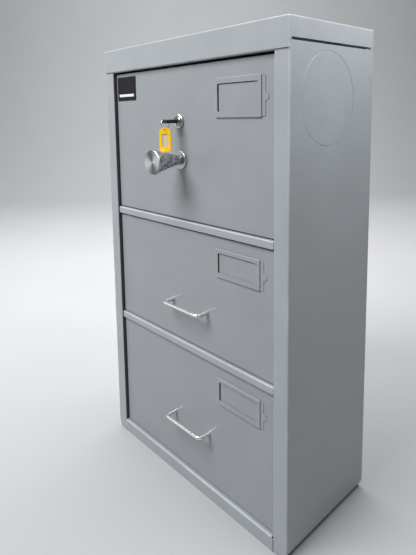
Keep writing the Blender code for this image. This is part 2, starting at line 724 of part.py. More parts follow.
def lock_tongue():
    """Flat tongue on the lock's spigot. It points right when unlocked."""
    half = TONGUE_WIDTH / 2
    start = at_depth(HOUSING_END + 2 * SEAT)
    tip = LOCK_X + TONGUE_LENGTH
    outline = arc((LOCK_X, LOCK_Z), half, 90, 270, 8) + arc((tip - half, LOCK_Z), half, -90, 90, 8)
    made = prism("lock_tongue", outline, "Y", start, start + TONGUE_THICK)
    radius = SPIGOT_R + SEAT
    ends = (HOUSING_END, PANEL_BACK)
    hole = turned("hole", LOCK_X, LOCK_Z, [(ends[0], 0), (ends[0], radius), (ends[1], radius), (ends[1], 0)])
    return carve(made, [hole])


def key_blade():
    half_width = BLADE_WIDTH / 2
    half_height = BLADE_THICK / 2
    return block(
        "key_blade", (LOCK_X - half_width, LOCK_X + half_width),
        (BOW_START - BOW_POCKET + SEAT, BLADE_IN), (LOCK_Z - half_height, LOCK_Z + half_height))


def key_bow():
    """Plastic head moulded on the blade, lying flat, with an eye for the ring near its tip."""
    half = BOW_WIDTH / 2
    turn = half * 0.6
    tip = at_depth(BOW_TIP)
    start = at_depth(BOW_START)
    outline = [(LOCK_X + half, start), (LOCK_X - half, start)]
    outline += arc((LOCK_X - half + turn, tip + turn), turn, 180, 270, 5)
    outline += arc((LOCK_X + half - turn, tip + turn), turn, 270, 360, 5)
    half_height = BOW_THICK / 2
    made = prism("key_bow", outline, "Z", LOCK_Z - half_height, LOCK_Z + half_height)
    eye_start = BOW_TIP + BOW_BRIDGE
    eye = block(
        "eye", (LOCK_X - EYE_WIDTH / 2, LOCK_X + EYE_WIDTH / 2), (eye_start, eye_start + EYE_LENGTH),
        (LOCK_Z - BOW_THICK, LOCK_Z + BOW_THICK))
    pocket_width = BLADE_WIDTH / 2 + SEAT
    pocket_height = BLADE_THICK / 2 + SEAT
    pocket = block(
        "pocket", (LOCK_X - pocket_width, LOCK_X + pocket_width), (BOW_START - BOW_POCKET, BOW_START + SHEET),
        (LOCK_Z - pocket_height, LOCK_Z + pocket_height))
    return carve(made, [eye, pocket])


def ring_centre():
    """The ring hangs on the bridge of the bow, between the eye and the tip."""
    bridge = BOW_BRIDGE / 2
    dip = RING_R - math.sqrt(RING_R ** 2 - bridge ** 2)
    top_wire = LOCK_Z + BOW_THICK / 2 + SEAT + RING_WIRE_R + dip
    return Vector((LOCK_X, at_depth(BOW_TIP + bridge), top_wire - RING_R))


def key_ring():
    centre = ring_centre()
    path = [
        centre + RING_R * Vector((0, math.cos(t), math.sin(t)))
        for t in (2 * math.pi * i / FINE for i in range(FINE))
    ]
    return swept("key_ring", path, RING_WIRE_R, 8, closed=True)


def tag_top():
    wire = ring_centre().z - RING_R
    return wire + RING_WIRE_R + TAG_SAG - TAG_HOLE_R + TAG_HOLE_IN


def turn_about_ring(made):
    """Turns a flat piece about the vertical line through the ring, as the tag hangs."""
    centre = ring_centre()
    cos, sin = math.cos(TAG_TURN), math.sin(TAG_TURN)
    for vertex in made.data.vertices:
        x, y = vertex.co.x - centre.x, vertex.co.y - centre.y
        vertex.co.x = centre.x + x * cos - y * sin
        vertex.co.y = centre.y + x * sin + y * cos
    return made


def key_tag():
    """Plastic tag with a round shoulder, an upper and a lower hole and a window for a card."""
    centre = ring_centre()
    half = TAG_WIDTH / 2
    top = tag_top()
    low = top - TAG_HEIGHT
    outline = arc((centre.x - half + TAG_TOP_R, top - TAG_TOP_R), TAG_TOP_R, 90, 180, 6)
    outline += arc((centre.x - half + TAG_BOTTOM_R, low + TAG_BOTTOM_R), TAG_BOTTOM_R, 180, 270, 5)
    outline += arc((centre.x + half - TAG_BOTTOM_R, low + TAG_BOTTOM_R), TAG_BOTTOM_R, 270, 360, 5)
    outline += arc((centre.x + half - TAG_TOP_R, top - TAG_TOP_R), TAG_TOP_R, 0, 90, 6)
    made = prism("key_tag", outline, "Y", centre.y - TAG_THICK / 2, centre.y + TAG_THICK / 2)
    ends = (centre.y - TAG_THICK, centre.y + TAG_THICK)
    holes = [
        prism("hole", arc((centre.x, top - TAG_HOLE_IN), TAG_HOLE_R, 0, 345, 23), "Y", *ends),
        prism("low_hole", arc((centre.x, low + TAG_HOLE_R), TAG_HOLE_R / 2, 0, 330, 11), "Y", *ends),
        prism("window", card_outline(SEAT), "Y", *ends),
    ]
    return turn_about_ring(carve(made, holes))


def card_outline(margin):
    centre = ring_centre()
    half = CARD_WIDTH / 2 + margin
    low = tag_top() - TAG_HEIGHT + CARD_LIFT - margin
    high = low + CARD_HEIGHT + 2 * margin
    return [(centre.x - half, low), (centre.x + half, low), (centre.x + half, high), (centre.x - half, high)]


def tag_card():
    y = ring_centre().y
    made = prism("tag_card", card_outline(0), "Y", y - CARD_THICK / 2, y + CARD_THICK / 2)
    return turn_about_ring(made)


# ---------------------------------------------------------------- the knob and its bolts
def knob_rosette():
    profile = ring_profile(
        ROSETTE_FACE, PANEL_RECESS - SEAT, bore_radius(SPINDLE_R), KNOB_ROSETTE_R, 0.0015)
    return turned("knob_rosette", KNOB_X, KNOB_Z, profile, FINE)


def knob():
    """Tapered pull knob that widens to a dished, bevelled face."""
    neck = ROSETTE_FACE - 2 * SEAT
    face = neck - KNOB_LENGTH
    rim = 0.0022
    bore = SPINDLE_R + SEAT
    profile = [
        (face + rim / 2, 0), (face, KNOB_FACE_R - rim), (face + rim / 2, KNOB_FACE_R - rim / 4),
        (face + rim, KNOB_FACE_R), (face + 2 * rim, KNOB_FACE_R - rim / 6),
        (neck - 0.012, KNOB_NECK_R + 0.0012), (neck, KNOB_NECK_R), (neck, bore), (neck - KNOB_BORE, bore),
        (neck - KNOB_BORE, 0),
    ]
    return turned("knob", KNOB_X, KNOB_Z, profile, FINE)


def knob_spindle():
    start = ROSETTE_FACE - 2 * SEAT - KNOB_BORE + SEAT
    end = CAM_START + CAM_THICK + SHEET
    profile = [(start, 0), (start, SPINDLE_R), (end, SPINDLE_R), (end, 0)]
    return turned("knob_spindle", KNOB_X, KNOB_Z, profile, FINE)


def spiral_slot(name, side):
    """Slot whose radius grows evenly with the turn, so a bolt moves evenly with the knob."""
    half = PIN_R + SEAT
    steps = 12
    turns = [KNOB_TURN * i / steps for i in range(steps + 1)]
    growth = BOLT_THROW / KNOB_TURN

    def middle(t):
        radius = PIN_IN + growth * t
        return Vector((radius * math.cos(t), radius * math.sin(t)))

    def across(t):
        radius = PIN_IN + growth * t
        along = Vector((
            growth * math.cos(t) - radius * math.sin(t), growth * math.sin(t) + radius * math.cos(t)))
        return Vector((along.y, -along.x)).normalized()

    def cap(t, turn_from):
        first = math.atan2(across(t).y, across(t).x) + turn_from
        return [
            middle(t) + half * Vector((math.cos(first + math.pi * i / 8), math.sin(first + math.pi * i / 8)))
            for i in range(9)
        ]

    outer = [middle(t) + half * across(t) for t in turns[1:-1]]
    inner = [middle(t) - half * across(t) for t in reversed(turns[1:-1])]
    points = outer + cap(turns[-1], 0.0) + inner + cap(turns[0], math.pi)
    outline = [(KNOB_X + side * p.x, KNOB_Z + side * p.y) for p in points]
    return prism(name, outline, "Y", at_depth(CAM_START - THIN), at_depth(CAM_START + CAM_THICK + THIN))


def bolt_cam():
    """Disc on the spindle whose two spiral slots drive the bolts."""
    ends = (CAM_START, CAM_START + CAM_THICK)
    profile = ring_profile(*ends, SPINDLE_R + SEAT, CAM_R, THIN / 2)
    made = turned("bolt_cam", KNOB_X, KNOB_Z, profile, FINE)
    return carve(made, [spiral_slot("right_slot", 1), spiral_slot("left_slot", -1)])


def lock_bolt(name, side):
    """Flat bolt with a pin that rides in the cam. It lies withdrawn inside the front."""
    pin_x = KNOB_X + side * PIN_IN
    tip = side * (PANEL_HALF - SEAT)
    reach = sorted((pin_x - side * BOLT_TAIL, tip))
    made = block(
        name, reach, (BOLT_FRONT, BOLT_FRONT + BOLT_THICK), (KNOB_Z - BOLT_HALF, KNOB_Z + BOLT_HALF))
    ends = (CAM_START + SEAT, BOLT_FRONT + THIN)
    pin = turned("pin", pin_x, KNOB_Z, [(ends[0], 0), (ends[0], PIN_R), (ends[1], PIN_R), (ends[1], 0)], 16)
    return join(made, [pin])


def bolt_guide(name, side):
    """Bracket behind the front that a bolt slides through."""
    near_end = PANEL_HALF - GUIDE_IN
    x = sorted((side * near_end, side * (near_end - GUIDE_LENGTH)))
    start = PANEL_RECESS + SHEET + SEAT
    end = BOLT_FRONT + BOLT_THICK + SEAT + SHEET
    made = block(name, x, (start, end), (KNOB_Z - GUIDE_HALF, KNOB_Z + GUIDE_HALF))
    reach = BOLT_HALF + SEAT
    way = block(
        "way", (x[0] - SHEET, x[1] + SHEET), (BOLT_FRONT - SEAT, BOLT_FRONT + BOLT_THICK + SEAT),
        (KNOB_Z - reach, KNOB_Z + reach))
    return carve(made, [way])


def strike_plate(name, side):
    """Angle behind a stile's fold that the thrown bolt catches on."""
    start = STILE_RETURN + SEAT
    end = BOLT_FRONT - SEAT
    z = (KNOB_Z - STRIKE_HALF, KNOB_Z + STRIKE_HALF)
    made = block(name, sorted((side * (OPENING + SEAT), side * (WALL_IN - SEAT))), (start, end), z)
    flange = block(
        "flange", sorted((side * (WALL_IN - SEAT - THIN), side * (WALL_IN - SEAT))),
        (start, start + STRIKE_FLANGE), z)
    return join(made, [flange])


# ---------------------------------------------------------------- assembly
def anchor(name, place, parent=None):
    """An empty that carries one moving group, at its joint."""
    made = bpy.data.objects.new(name, None)
    bpy.context.scene.collection.objects.link(made)
    made.parent = parent
    made.location = Vector(place) - (parent.matrix_world.translation if parent else Vector())
    bpy.context.view_layer.update()
    return made


def settle(made, group, finish):
    """Hangs a piece on its group, with its origin at the group's joint, and gives it its finish."""
    place = group.matrix_world.translation
    for vertex in made.data.vertices:
        vertex.co -= place
    made.parent = group
    made.data.materials.clear()
    made.data.materials.append(material(made.name, *FINISHES[finish]))
    for face in made.data.polygons:
        face.material_index = 0
    made.data.shade_smooth()
    made.data.set_sharp_from_angle(angle=math.radians(30))


def build_cabinet():
    group = anchor("cabinet", (0, 0, 0))
    for made in (body_shell(), back_panel(), top_cap(), plinth(), side_cover()):
        settle(made, group, "grey_paint")
    settle(rail("upper_rail", UPPER_RAIL), group, "grey_paint")
    settle(rail("lower_rail", LOWER_RAIL), group, "grey_paint")
    settle(dividing_plate(), group, "inner_paint")
    for hand, side in (("left", -1), ("right", 1)):
        settle(strike_plate(f"strike_plate_{hand}", side), group, "zinc_steel")
        for drawer in FRONTS:
            settle(fixed_runner(f"{drawer}_fixed_runner_{hand}", drawer, side), group, "zinc_steel")
    return group


def build_drawer(drawer, cabinet):
    """The pieces that all three drawers have."""
    low, high = FRONTS[drawer]
    group = anchor(f"{drawer}_drawer", (0, at_depth(PANEL_RECESS), (low + high) / 2), cabinet)
    front = top_front() if drawer == "top" else pull_front(drawer)
    settle(front, group, "grey_paint")
    settle(tray(f"{drawer}_tray", drawer), group, "inner_paint")
    for hand, side in (("left", -1), ("right", 1)):
        settle(drawer_runner(f"{drawer}_drawer_runner_{hand}", drawer, side), group, "zinc_steel")
    settle(label_frame(f"{drawer}_label_frame", drawer), group, "grey_paint")
    left, label_low, height, _ = label_place(drawer)
    insert = anchor(f"{drawer}_insert", (left, at_depth(PANEL_RECESS), label_low + height / 2), group)
    settle(label_insert(f"{drawer}_label_insert", drawer), insert, "grey_paint")
    return group


def build_pull(drawer, group):
    settle(bar_pull(f"{drawer}_pull", drawer), group, "bright_steel")
    for hand, x in zip(("left", "right"), pull_legs()):
        settle(pull_screw(f"{drawer}_pull_screw_{hand}", drawer, x), group, "zinc_steel")


def build_lock(drawer):
    """The key lock of the top drawer, with the key in it and the tag on the key's ring."""
    settle(badge(), drawer, "black_label")
    settle(lock_rosette(), drawer, "bright_steel")
    settle(lock_housing(), drawer, "bright_steel")
    settle(lock_nut(), drawer, "brass")
    core = anchor("lock_core", (LOCK_X, at_depth(PANEL_RECESS), LOCK_Z), drawer)
    settle(lock_plug(), core, "brass")
    settle(lock_tongue(), core, "zinc_steel")
    settle(key_blade(), core, "bright_steel")
    settle(key_bow(), core, "black_plastic")
    hang = ring_centre() + Vector((0, 0, RING_R))
    tag = anchor("hanging_tag", hang, core)
    settle(key_ring(), tag, "bright_steel")
    settle(key_tag(), tag, "yellow_plastic")
    settle(tag_card(), tag, "card")


def build_knob(drawer):
    """The knob with its spindle and cam, and the two bolts that it drives."""
    settle(knob_rosette(), drawer, "bright_steel")
    turning = anchor("turning_knob", (KNOB_X, at_depth(PANEL_RECESS), KNOB_Z), drawer)
    settle(knob(), turning, "cast_aluminium")
    settle(knob_spindle(), turning, "zinc_steel")
    settle(bolt_cam(), turning, "zinc_steel")
    for hand, side in (("left", -1), ("right", 1)):
        settle(bolt_guide(f"bolt_guide_{hand}", side), drawer, "zinc_steel")
        sliding = anchor(f"{hand}_bolt", (KNOB_X + side * PIN_IN, at_depth(BOLT_FRONT), KNOB_Z), drawer)
        settle(lock_bolt(f"lock_bolt_{hand}", side), sliding, "zinc_steel")


def main():
    for old in list(bpy.data.objects):
        bpy.data.objects.remove(old, do_unlink=True)
    cabinet = build_cabinet()
    drawers = {name: build_drawer(name, cabinet) for name in FRONTS}
    for name in PULL_HEIGHT:
        build_pull(name, drawers[name])
    build_lock(drawers["top"])
    build_knob(drawers["top"])


main()
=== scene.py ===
# %% Load the frame
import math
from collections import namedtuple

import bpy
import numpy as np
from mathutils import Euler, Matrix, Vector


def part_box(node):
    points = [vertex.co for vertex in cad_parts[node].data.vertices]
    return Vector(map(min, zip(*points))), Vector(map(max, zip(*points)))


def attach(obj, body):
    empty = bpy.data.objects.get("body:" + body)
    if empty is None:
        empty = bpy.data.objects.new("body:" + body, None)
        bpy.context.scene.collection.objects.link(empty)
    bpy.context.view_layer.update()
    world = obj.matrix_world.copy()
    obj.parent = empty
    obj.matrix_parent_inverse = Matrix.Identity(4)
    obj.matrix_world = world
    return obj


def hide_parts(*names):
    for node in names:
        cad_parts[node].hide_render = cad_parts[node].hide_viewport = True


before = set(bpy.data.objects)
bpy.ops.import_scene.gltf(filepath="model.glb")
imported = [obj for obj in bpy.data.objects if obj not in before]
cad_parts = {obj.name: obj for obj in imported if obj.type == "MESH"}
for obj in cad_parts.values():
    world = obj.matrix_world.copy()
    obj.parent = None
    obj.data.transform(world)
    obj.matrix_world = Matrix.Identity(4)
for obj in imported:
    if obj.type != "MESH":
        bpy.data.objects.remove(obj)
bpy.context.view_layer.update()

# %% [markdown]
# # A three-drawer steel security cabinet
# The working model is already here: every part sits in metres in one frame, rides on a body, and
# the bodies move on their joints. This lesson gives that frame its looks. It makes the skin of
# each part that shows as a surface worked out with numpy, and gives every part a finish built
# from shader nodes. Nothing that the frame placed is moved, so the drawers, the knob, the key
# and the tag still move as they should.

MM = 0.001


def limits(node):
    """Lowest and highest corner of one part, as two arrays of x, y and z."""
    low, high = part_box(node)
    return np.array(low), np.array(high)


def middle(node):
    """Middle of one part's box."""
    low, high = limits(node)
    return (low + high) / 2


shell_low, shell_high = limits("body_shell")
FRONT, BACK = shell_low[1], shell_high[1]      # front plane of the stiles, and the back
SIDE = shell_high[0]
TOP = limits("top_cap")[1][2]
print(f"cabinet {2 * SIDE:.3f} wide, {BACK - FRONT:.3f} deep, {TOP:.3f} high")

# %% [markdown]
# ## The camera
# The view is a close one from the right, a little below the cabinet's top. A short distance
# makes the near corner loom and the verticals lean, so distance matters more than lens length.
# A lens shift slides the cabinet across the picture without turning the camera.

# %% Set the camera
CAMERA_PLACE = (0.7594, -0.8029, 0.8425)
CAMERA_TURN = (82.836, 1.311, 49.236)          # degrees about x, y and z
LENS = 30.95
SHIFT = (0.0572, -0.1860)

camera = bpy.data.objects.new("camera", bpy.data.cameras.new("camera"))
camera.data.lens = LENS
camera.data.shift_x, camera.data.shift_y = SHIFT
camera.location = CAMERA_PLACE
camera.rotation_euler = Euler([math.radians(turn) for turn in CAMERA_TURN])
bpy.context.scene.collection.objects.link(camera)
bpy.context.scene.camera = camera
print("camera", math.dist(CAMERA_PLACE, (0, 0, TOP / 2)), "m from the middle of the cabinet")

# %% [markdown]
# ## Surfaces from grids
# Sheet metal is a flat blank with holes, folded along lines. A grid of points says the same in
# numbers: rows and columns of places, joined by four-sided faces. Where rows meet, their points
# coincide and are welded, so a pole, a corner or a seam closes by itself. Working on whole
# arrays keeps each shape one short formula.

# %% Make and join grids
Shape = namedtuple("Shape", "points faces uv")
WELD = 0.01 * MM
WELD_SHIFT = 0.137       # keeps round numbers away from the rounding's edge


def grid(points, wrap=False, flip=False):
    """Joins a (rows, columns, 3) array into four-sided faces. With wrap, the last column meets
    the first. The uv of a corner is its share of the way along the columns and the rows."""
    rows, columns = points.shape[:2]
    across = columns if wrap else columns - 1
    row, column = (a.ravel() for a in np.mgrid[0:rows - 1, 0:across])
    corner_row = np.stack([row, row, row + 1, row + 1], -1)
    corner_column = np.stack([column, column + 1, column + 1, column], -1)
    if flip:
        corner_row, corner_column = corner_row[:, ::-1], corner_column[:, ::-1]
    uv = np.stack([corner_column / across, corner_row / (rows - 1)], -1)
    return Shape(points.reshape(-1, 3), corner_row * columns + corner_column % columns, uv)


def merge(*shapes):
    """Puts several shapes into one, with each one's faces counted on from the last."""
    starts = np.cumsum([0] + [len(s.points) for s in shapes[:-1]])
    faces = [s.faces + start for s, start in zip(shapes, starts)]
    return Shape(np.concatenate([s.points for s in shapes]), np.concatenate(faces),
                 np.concatenate([s.uv for s in shapes]))


def cut(shape, where):
    """Drops the faces whose middle passes a test, as a punch would."""
    keep = ~where(shape.points[shape.faces].mean(axis=1))
    return Shape(shape.points, shape.faces[keep], shape.uv[keep])


def outward(shape):
    """Turns a shape inside out if its faces look inwards. The sign of the volume that the faces
    span with the middle of the shape tells."""
    a, b, c, d = np.moveaxis((shape.points - shape.points.mean(axis=0))[shape.faces], 1, 0)
    volume = (np.cross(a, b) * c).sum() + (np.cross(a, c) * d).sum()
    return shape if volume > 0 else Shape(shape.points, shape.faces[:, ::-1], shape.uv[:, ::-1])


def weld(shape):
    """Makes one point of points that coincide. A face with two equal corners becomes a
    triangle, and one that folds to nothing goes. Returns points, faces and their uv."""
    spots = np.round(shape.points / WELD + WELD_SHIFT)
    _, first, same_as = np.unique(spots, axis=0, return_index=True, return_inverse=True)
    faces = same_as.ravel()[shape.faces]
    folded = faces == np.roll(faces, -1, axis=1)
    whole, three = folded.sum(axis=1) == 0, folded.sum(axis=1) == 1
    corners = ~folded[three]
    triangles = faces[three][corners].reshape(-1, 3)
    uv = np.concatenate([shape.uv[whole].reshape(-1, 2), shape.uv[three][corners]])
    return shape.points[first], faces[whole].tolist() + triangles.tolist(), uv


print("helpers for grids are ready")

# %% [markdown]
# ## From a grid to a piece
# The blank gets its thickness from Solidify, and Bevel breaks its cut edges, as deburring does.
# Both are applied here, so the finished mesh can be measured. Each point then learns how sharply
# the surface bends there. Paint wears at bends and bends take a painted highlight, so a finish reads that
# number.

# %% Make a piece
BEND_FULL = 0.012        # one less the mean normal's length at a well rounded edge


def read(items, field, numbers=1, kind=float):
    """Reads one field of every item of a mesh into an array, a row for each item."""
    values = np.empty(len(items) * numbers, kind)
    items.foreach_get(field, values)
    return values.reshape(-1, numbers) if numbers > 1 else values


def mark_bends(mesh):
    """Stores how far each face is bent, 0 on a flat and 1 in a fold. At a point it is one less
    the length of the mean unit normal round it, over the same at a rounded edge. A face takes
    the smallest of its points, so a flat face beside a fold stays unworn and without painted highlight."""
    count = len(mesh.vertices)
    corners = read(mesh.loops, "vertex_index", kind=int)
    totals = read(mesh.polygons, "loop_total", kind=int)
    starts = read(mesh.polygons, "loop_start", kind=int)
    spread = np.zeros((count, 3))
    np.add.at(spread, corners, np.repeat(read(mesh.polygons, "normal", 3), totals, axis=0))
    around = np.maximum(np.bincount(corners, minlength=count), 1)
    bend = np.clip((1 - np.linalg.norm(spread, axis=1) / around) / BEND_FULL, 0, 1)
    of_face = np.minimum.reduceat(bend[corners], starts).astype(np.float32)
    mesh.attributes.new("bend", "FLOAT", "FACE").data.foreach_set("value", of_face)


def piece(name, shape, finish, body, stands_for=(), thick=0, offset=-1, deburr=0,
          sharp=35, second=None):
    """Makes an object of a shape: welded, thickened, deburred, shaded and put on its body.
    second is another finish and the test of face middles that gives it."""
    points, faces, uv = weld(shape)
    blank = bpy.data.meshes.new(name)
    blank.from_pydata(points.tolist(), [], faces)
    blank.uv_layers.new(name="surface").uv.foreach_set("vector", uv.astype(np.float32).ravel())
    made = bpy.data.objects.new(name, blank)
    bpy.context.scene.collection.objects.link(made)
    if thick:
        step = made.modifiers.new("thickness", "SOLIDIFY")
        step.thickness, step.offset, step.use_even_offset = thick, offset, True
    if deburr:
        step = made.modifiers.new("deburr", "BEVEL")
        step.width, step.segments, step.limit_method = deburr, 2, "ANGLE"
        step.angle_limit = math.radians(50)
    seen = made.evaluated_get(bpy.context.evaluated_depsgraph_get())
    made.data = bpy.data.meshes.new_from_object(seen)
    made.modifiers.clear()
    mark_bends(made.data)
    made.data.shade_smooth()
    made.data.set_sharp_from_angle(angle=math.radians(sharp))
    made.modifiers.new("flats", "WEIGHTED_NORMAL").keep_sharp = True
    made.data.materials.clear()
    made.data.materials.append(finish)
    if second:
        made.data.materials.append(second[0])
        chosen = second[1](read(made.data.polygons, "center", 3)).astype(np.int32)
        made.data.polygons.foreach_set("material_index", chosen)
    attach(made, body)
    if stands_for:
        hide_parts(*stands_for)
    print(f"{name}: {len(made.data.polygons)} faces on {body}")
    return made


# %% [markdown]
# ## Building finishes from nodes
# A finish is a small tree of nodes that ends in one Principled shader. One helper adds any node
# with its settings and its links. Colours are written as the usual hex values and turned to the
# linear values that light adds up in.

# %% Helpers for finishes
def linear(hex_colour):
    """Turns #rrggbb into linear red, green, blue and alpha."""
    share = np.array([int(hex_colour[i:i + 2], 16) for i in (1, 3, 5)]) / 255
    low, high = share / 12.92, ((share + 0.055) / 1.055) ** 2.4
    return (*np.where(share <= 0.04045, low, high), 1.0)


def add(tree, kind, sockets=None, **settings):
    """Adds a node. settings are its properties, and sockets are values or links by name."""
    made = tree.nodes.new(kind)
    for key, value in settings.items():
        setattr(made, key, value)
    for key, value in (sockets or {}).items():
        if isinstance(value, bpy.types.NodeSocket):
            tree.links.new(value, made.inputs[key])
        else:
            made.inputs[key].default_value = value
    return made


def new_finish(name, **sockets):
    """Starts a finish that has one Principled shader. Returns the material, its tree, the
    shader and the coordinates to work from. A socket's name is given with _ for its spaces."""
    made = bpy.data.materials.new(name)
    made.use_nodes = True
    made.node_tree.nodes.clear()
    tree = made.node_tree
    values = {key.replace("_", " "): value for key, value in sockets.items()}
    shader = add(tree, "ShaderNodeBsdfPrincipled", values)
    add(tree, "ShaderNodeOutputMaterial", {"Surface": shader.outputs[0]})
    return made, tree, shader, add(tree, "ShaderNodeTexCoord").outputs


def feed(shader, **links):
    """Links outputs to the shader's sockets, whose names are given with _ for their spaces."""
    for key, source in links.items():
        shader.id_data.links.new(source, shader.inputs[key.replace("_", " ")])


def per_metre(size):
    """The scale of a pattern whose features are this many metres across."""
    return 1 / size


def noise(tree, place, size, detail, roughness=0.5):
    """Clouds from 0 to 1 whose features are size metres across."""
    sockets = {"Vector": place, "Scale": per_metre(size), "Detail": detail, "Roughness": roughness}
    return add(tree, "ShaderNodeTexNoise", sockets).outputs[0]


def stretched(tree, place, scale):
    """Coordinates times a scale along each axis."""
    return add(tree, "ShaderNodeMapping", {"Vector": place, "Scale": scale}).outputs[0]


def mapped(tree, value, low, high, to_low=0.0, to_high=1.0):
    """Carries a value from the range low to high over to another range, and stops at its ends."""
    sockets = {0: value, 1: low, 2: high, 3: to_low, 4: to_high}
    return add(tree, "ShaderNodeMapRange", sockets).outputs[0]


def mixed(tree, share, first, second, blend="MIX"):
    """Mixes two colours, each a hex value or a link. With MULTIPLY the second scales the first."""
    first, second = (linear(c) if isinstance(c, str) else c for c in (first, second))
    return add(tree, "ShaderNodeMix", {"Factor": share, 6: first, 7: second}, data_type="RGBA",
               blend_type=blend).outputs[2]


def bump(tree, height, strength, distance, **sockets):
    """Relief too shallow for the outline. A Normal among the sockets is the relief under it."""
    values = {"Height": height, "Strength": strength, "Distance": distance, **sockets}
    return add(tree, "ShaderNodeBump", values).outputs[0]


# %% [markdown]
# ## Powder-coated sheet steel
# Grey polyester powder is sprayed on dry and baked until it flows. It keeps a faint ripple like
# orange peel, about 2 mm across, and a soft sheen. The sheet beneath is never quite flat, so
# reflections swim a little over hand-wide waves. Bends and cut edges turn paler, partly where the
# powder pulls thin and hands rub, and partly as a painted highlight. The waves and the ripple are
# bumps, because they are far too shallow to show in the outline.

# %% Powder coat
def powder_coat(name, colour, worn_and_highlit, roughness):
    """Powder coat with cloudy colour, waves, orange peel and paler bends, from rubbing and as painted
    highlight.
    """
    made, tree, shader, where = new_finish(name, Roughness=roughness, IOR=1.5)
    place = where["Object"]
    cloud = noise(tree, place, 0.12, 4.0, 0.6)
    tint = mixed(tree, 1.0, colour, mapped(tree, cloud, 0.3, 0.7, 0.955, 1.045), "MULTIPLY")
    bend = add(tree, "ShaderNodeAttribute", attribute_name="bend").outputs["Fac"]
    # Bends are painted paler: partly rubbing of the powder, and partly a painted highlight where edges catch
    # the light.
    rubbed_and_highlit = mapped(tree, noise(tree, place, 0.06, 2.0), 0.42, 0.62, 0.5, 0.9)
    wear_and_highlight = add(tree, "ShaderNodeMath", {0: bend, 1: rubbed_and_highlit}, operation="MULTIPLY").outputs[0]
    gloss = mapped(tree, cloud, 0.3, 0.7, roughness - 0.05, roughness + 0.06)
    sheet = bump(tree, noise(tree, place, 0.16, 1.0), 0.5, 1.2 * MM)
    # Orange peel is 2 mm across in life, and drawn 4 mm across so that it shows.
    peel = bump(tree, noise(tree, place, 0.004, 1.0), 0.35, 0.05 * MM, Normal=sheet)
    feed(shader, Base_Color=mixed(tree, wear_and_highlight, tint, worn_and_highlit), Roughness=gloss, Normal=peel)
    return made


body_paint = powder_coat("powder_coated_steel_body", "#969b9f", "#b2b7bc", 0.38)
front_paint = powder_coat("powder_coated_steel_front", "#8b8f93", "#a9adb1", 0.36)
# Dark grey: the paint of the trays and the divider, and painted shade in the gaps of the shell, rails and
# fronts.
inside_grey_and_gap_shade = powder_coat("inside_paint_and_painted_gap_shade", "#4c4f53", "#606367", 0.50)
print("three greys of powder coat")

# %% [markdown]
# ## Zinc, nickel and brass
# Runners and brackets are pressed from zinc-coated strip, whose crystals show as a dull patchwork
# a few millimetres wide. The pulls are drawn wire with bright nickel plate, which keeps fine
# lines along the wire. Turned rosettes and the lock keep rings from the lathe tool. All are
# metals, so they have no colour but that of their reflections.

# %% Plated metals
def zinc_plate():
    """Zinc crystals as flat cells, each with its own shade and roughness."""
    made, tree, shader, where = new_finish("zinc_coated_pressed_steel", Metallic=1.0, Roughness=0.38)
    cells = add(tree, "ShaderNodeTexVoronoi", {"Vector": where["Object"], "Scale": per_metre(0.006)})
    crystal = cells.outputs["Color"]
    feed(shader, Base_Color=mixed(tree, crystal, "#b4b6b4", "#cfd1ce"),
         Roughness=mapped(tree, crystal, 0.0, 1.0, 0.3, 0.48))
    return made


def turned_metal(name, colour, roughness, anisotropic, groove, reflection_fan=0.0):
    """Lathe-turned metal: rings a groove wide, and shine drawn out across them. The rings follow
    the piece's own uv, whose second number runs out from the middle."""
    made, tree, shader, where = new_finish(name, Metallic=1.0, Roughness=roughness,
                                           Anisotropic=anisotropic)
    turn = add(tree, "ShaderNodeTangent", direction_type="UV_MAP", uv_map="surface").outputs[0]
    lines = noise(tree, stretched(tree, where["UV"], (1.0, groove, 1.0)), 1.0, 3.0)
    tint = mixed(tree, 1.0, colour, mapped(tree, lines, 0.3, 0.7, 0.82, 1.08), "MULTIPLY")
    if reflection_fan:
        # Wedges of painted reflection, light and dark, meet in the middle, as lights mirror in a spun face.
        angle = add(tree, "ShaderNodeSeparateXYZ", {0: where["UV"]}).outputs[0]
        twist = add(tree, "ShaderNodeMath", {0: angle, 1: 4 * math.pi, 2: 0.9}, operation="MULTIPLY_ADD")
        painted_wedge = add(tree, "ShaderNodeMath", {0: twist.outputs[0]}, operation="SINE").outputs[0]
        tint = mixed(tree, 1.0, tint, mapped(tree, painted_wedge, -1.0, 1.0, 1 - reflection_fan, 1.0), "MULTIPLY")
    feed(shader, Tangent=turn, Base_Color=tint, Normal=bump(tree, lines, 0.25, 0.03 * MM))
    return made


def nickel_wire():
    """Bright nickel on drawn wire: fine streaks along it, a painted highlight on the upper and
    outer side, and painted shade underneath, where the normal looks down."""
    made, tree, shader, where = new_finish("nickel_plated_drawn_wire", Metallic=1.0, Roughness=0.2)
    lines = noise(tree, stretched(tree, where["UV"], (24.0, 2.0, 1.0)), 1.0, 1.0)
    # Painted highlight and shade: white where the normal faces up and out, dark grey underneath.
    painted_light_side = add(tree, "ShaderNodeVectorMath", {0: where["Normal"], 1: (0.35, -0.45, 0.82)},
                 operation="DOT_PRODUCT").outputs["Value"]
    feed(shader, Base_Color=mixed(tree, mapped(tree, painted_light_side, -0.25, 0.45), "#5b5b5e", "#ffffff"),
         Roughness=mapped(tree, lines, 0.3, 0.7, 0.17, 0.24))
    return made


zinc = zinc_plate()
bright_wire = nickel_wire()
rosette_metal = turned_metal("turned_nickel_rosette", "#c4c5c8", 0.3, 0.4, 30.0)
lock_metal = turned_metal("nickel_plated_brass_lock", "#b4b1a8", 0.3, 0.3, 20.0)
spun_face = turned_metal("spun_aluminium_face", "#e3e4e6", 0.3, 0.7, 60.0, 0.75)
ring_wire = turned_metal("split_ring_spring_steel", "#d8d9db", 0.15, 0.0, 3.0)
print("zinc, nickel, turned and spun metal")

# %% [markdown]
# ## Cast metal, plastics and card
# The knob's body is cast and only its face is machined, so its side keeps a grainy skin. The key's
# head and the tag are moulded: the head in black nylon with a fine grain, the tag in glossy
# yellow polypropylene that lets a little light in. The card is beige board behind a clear film.

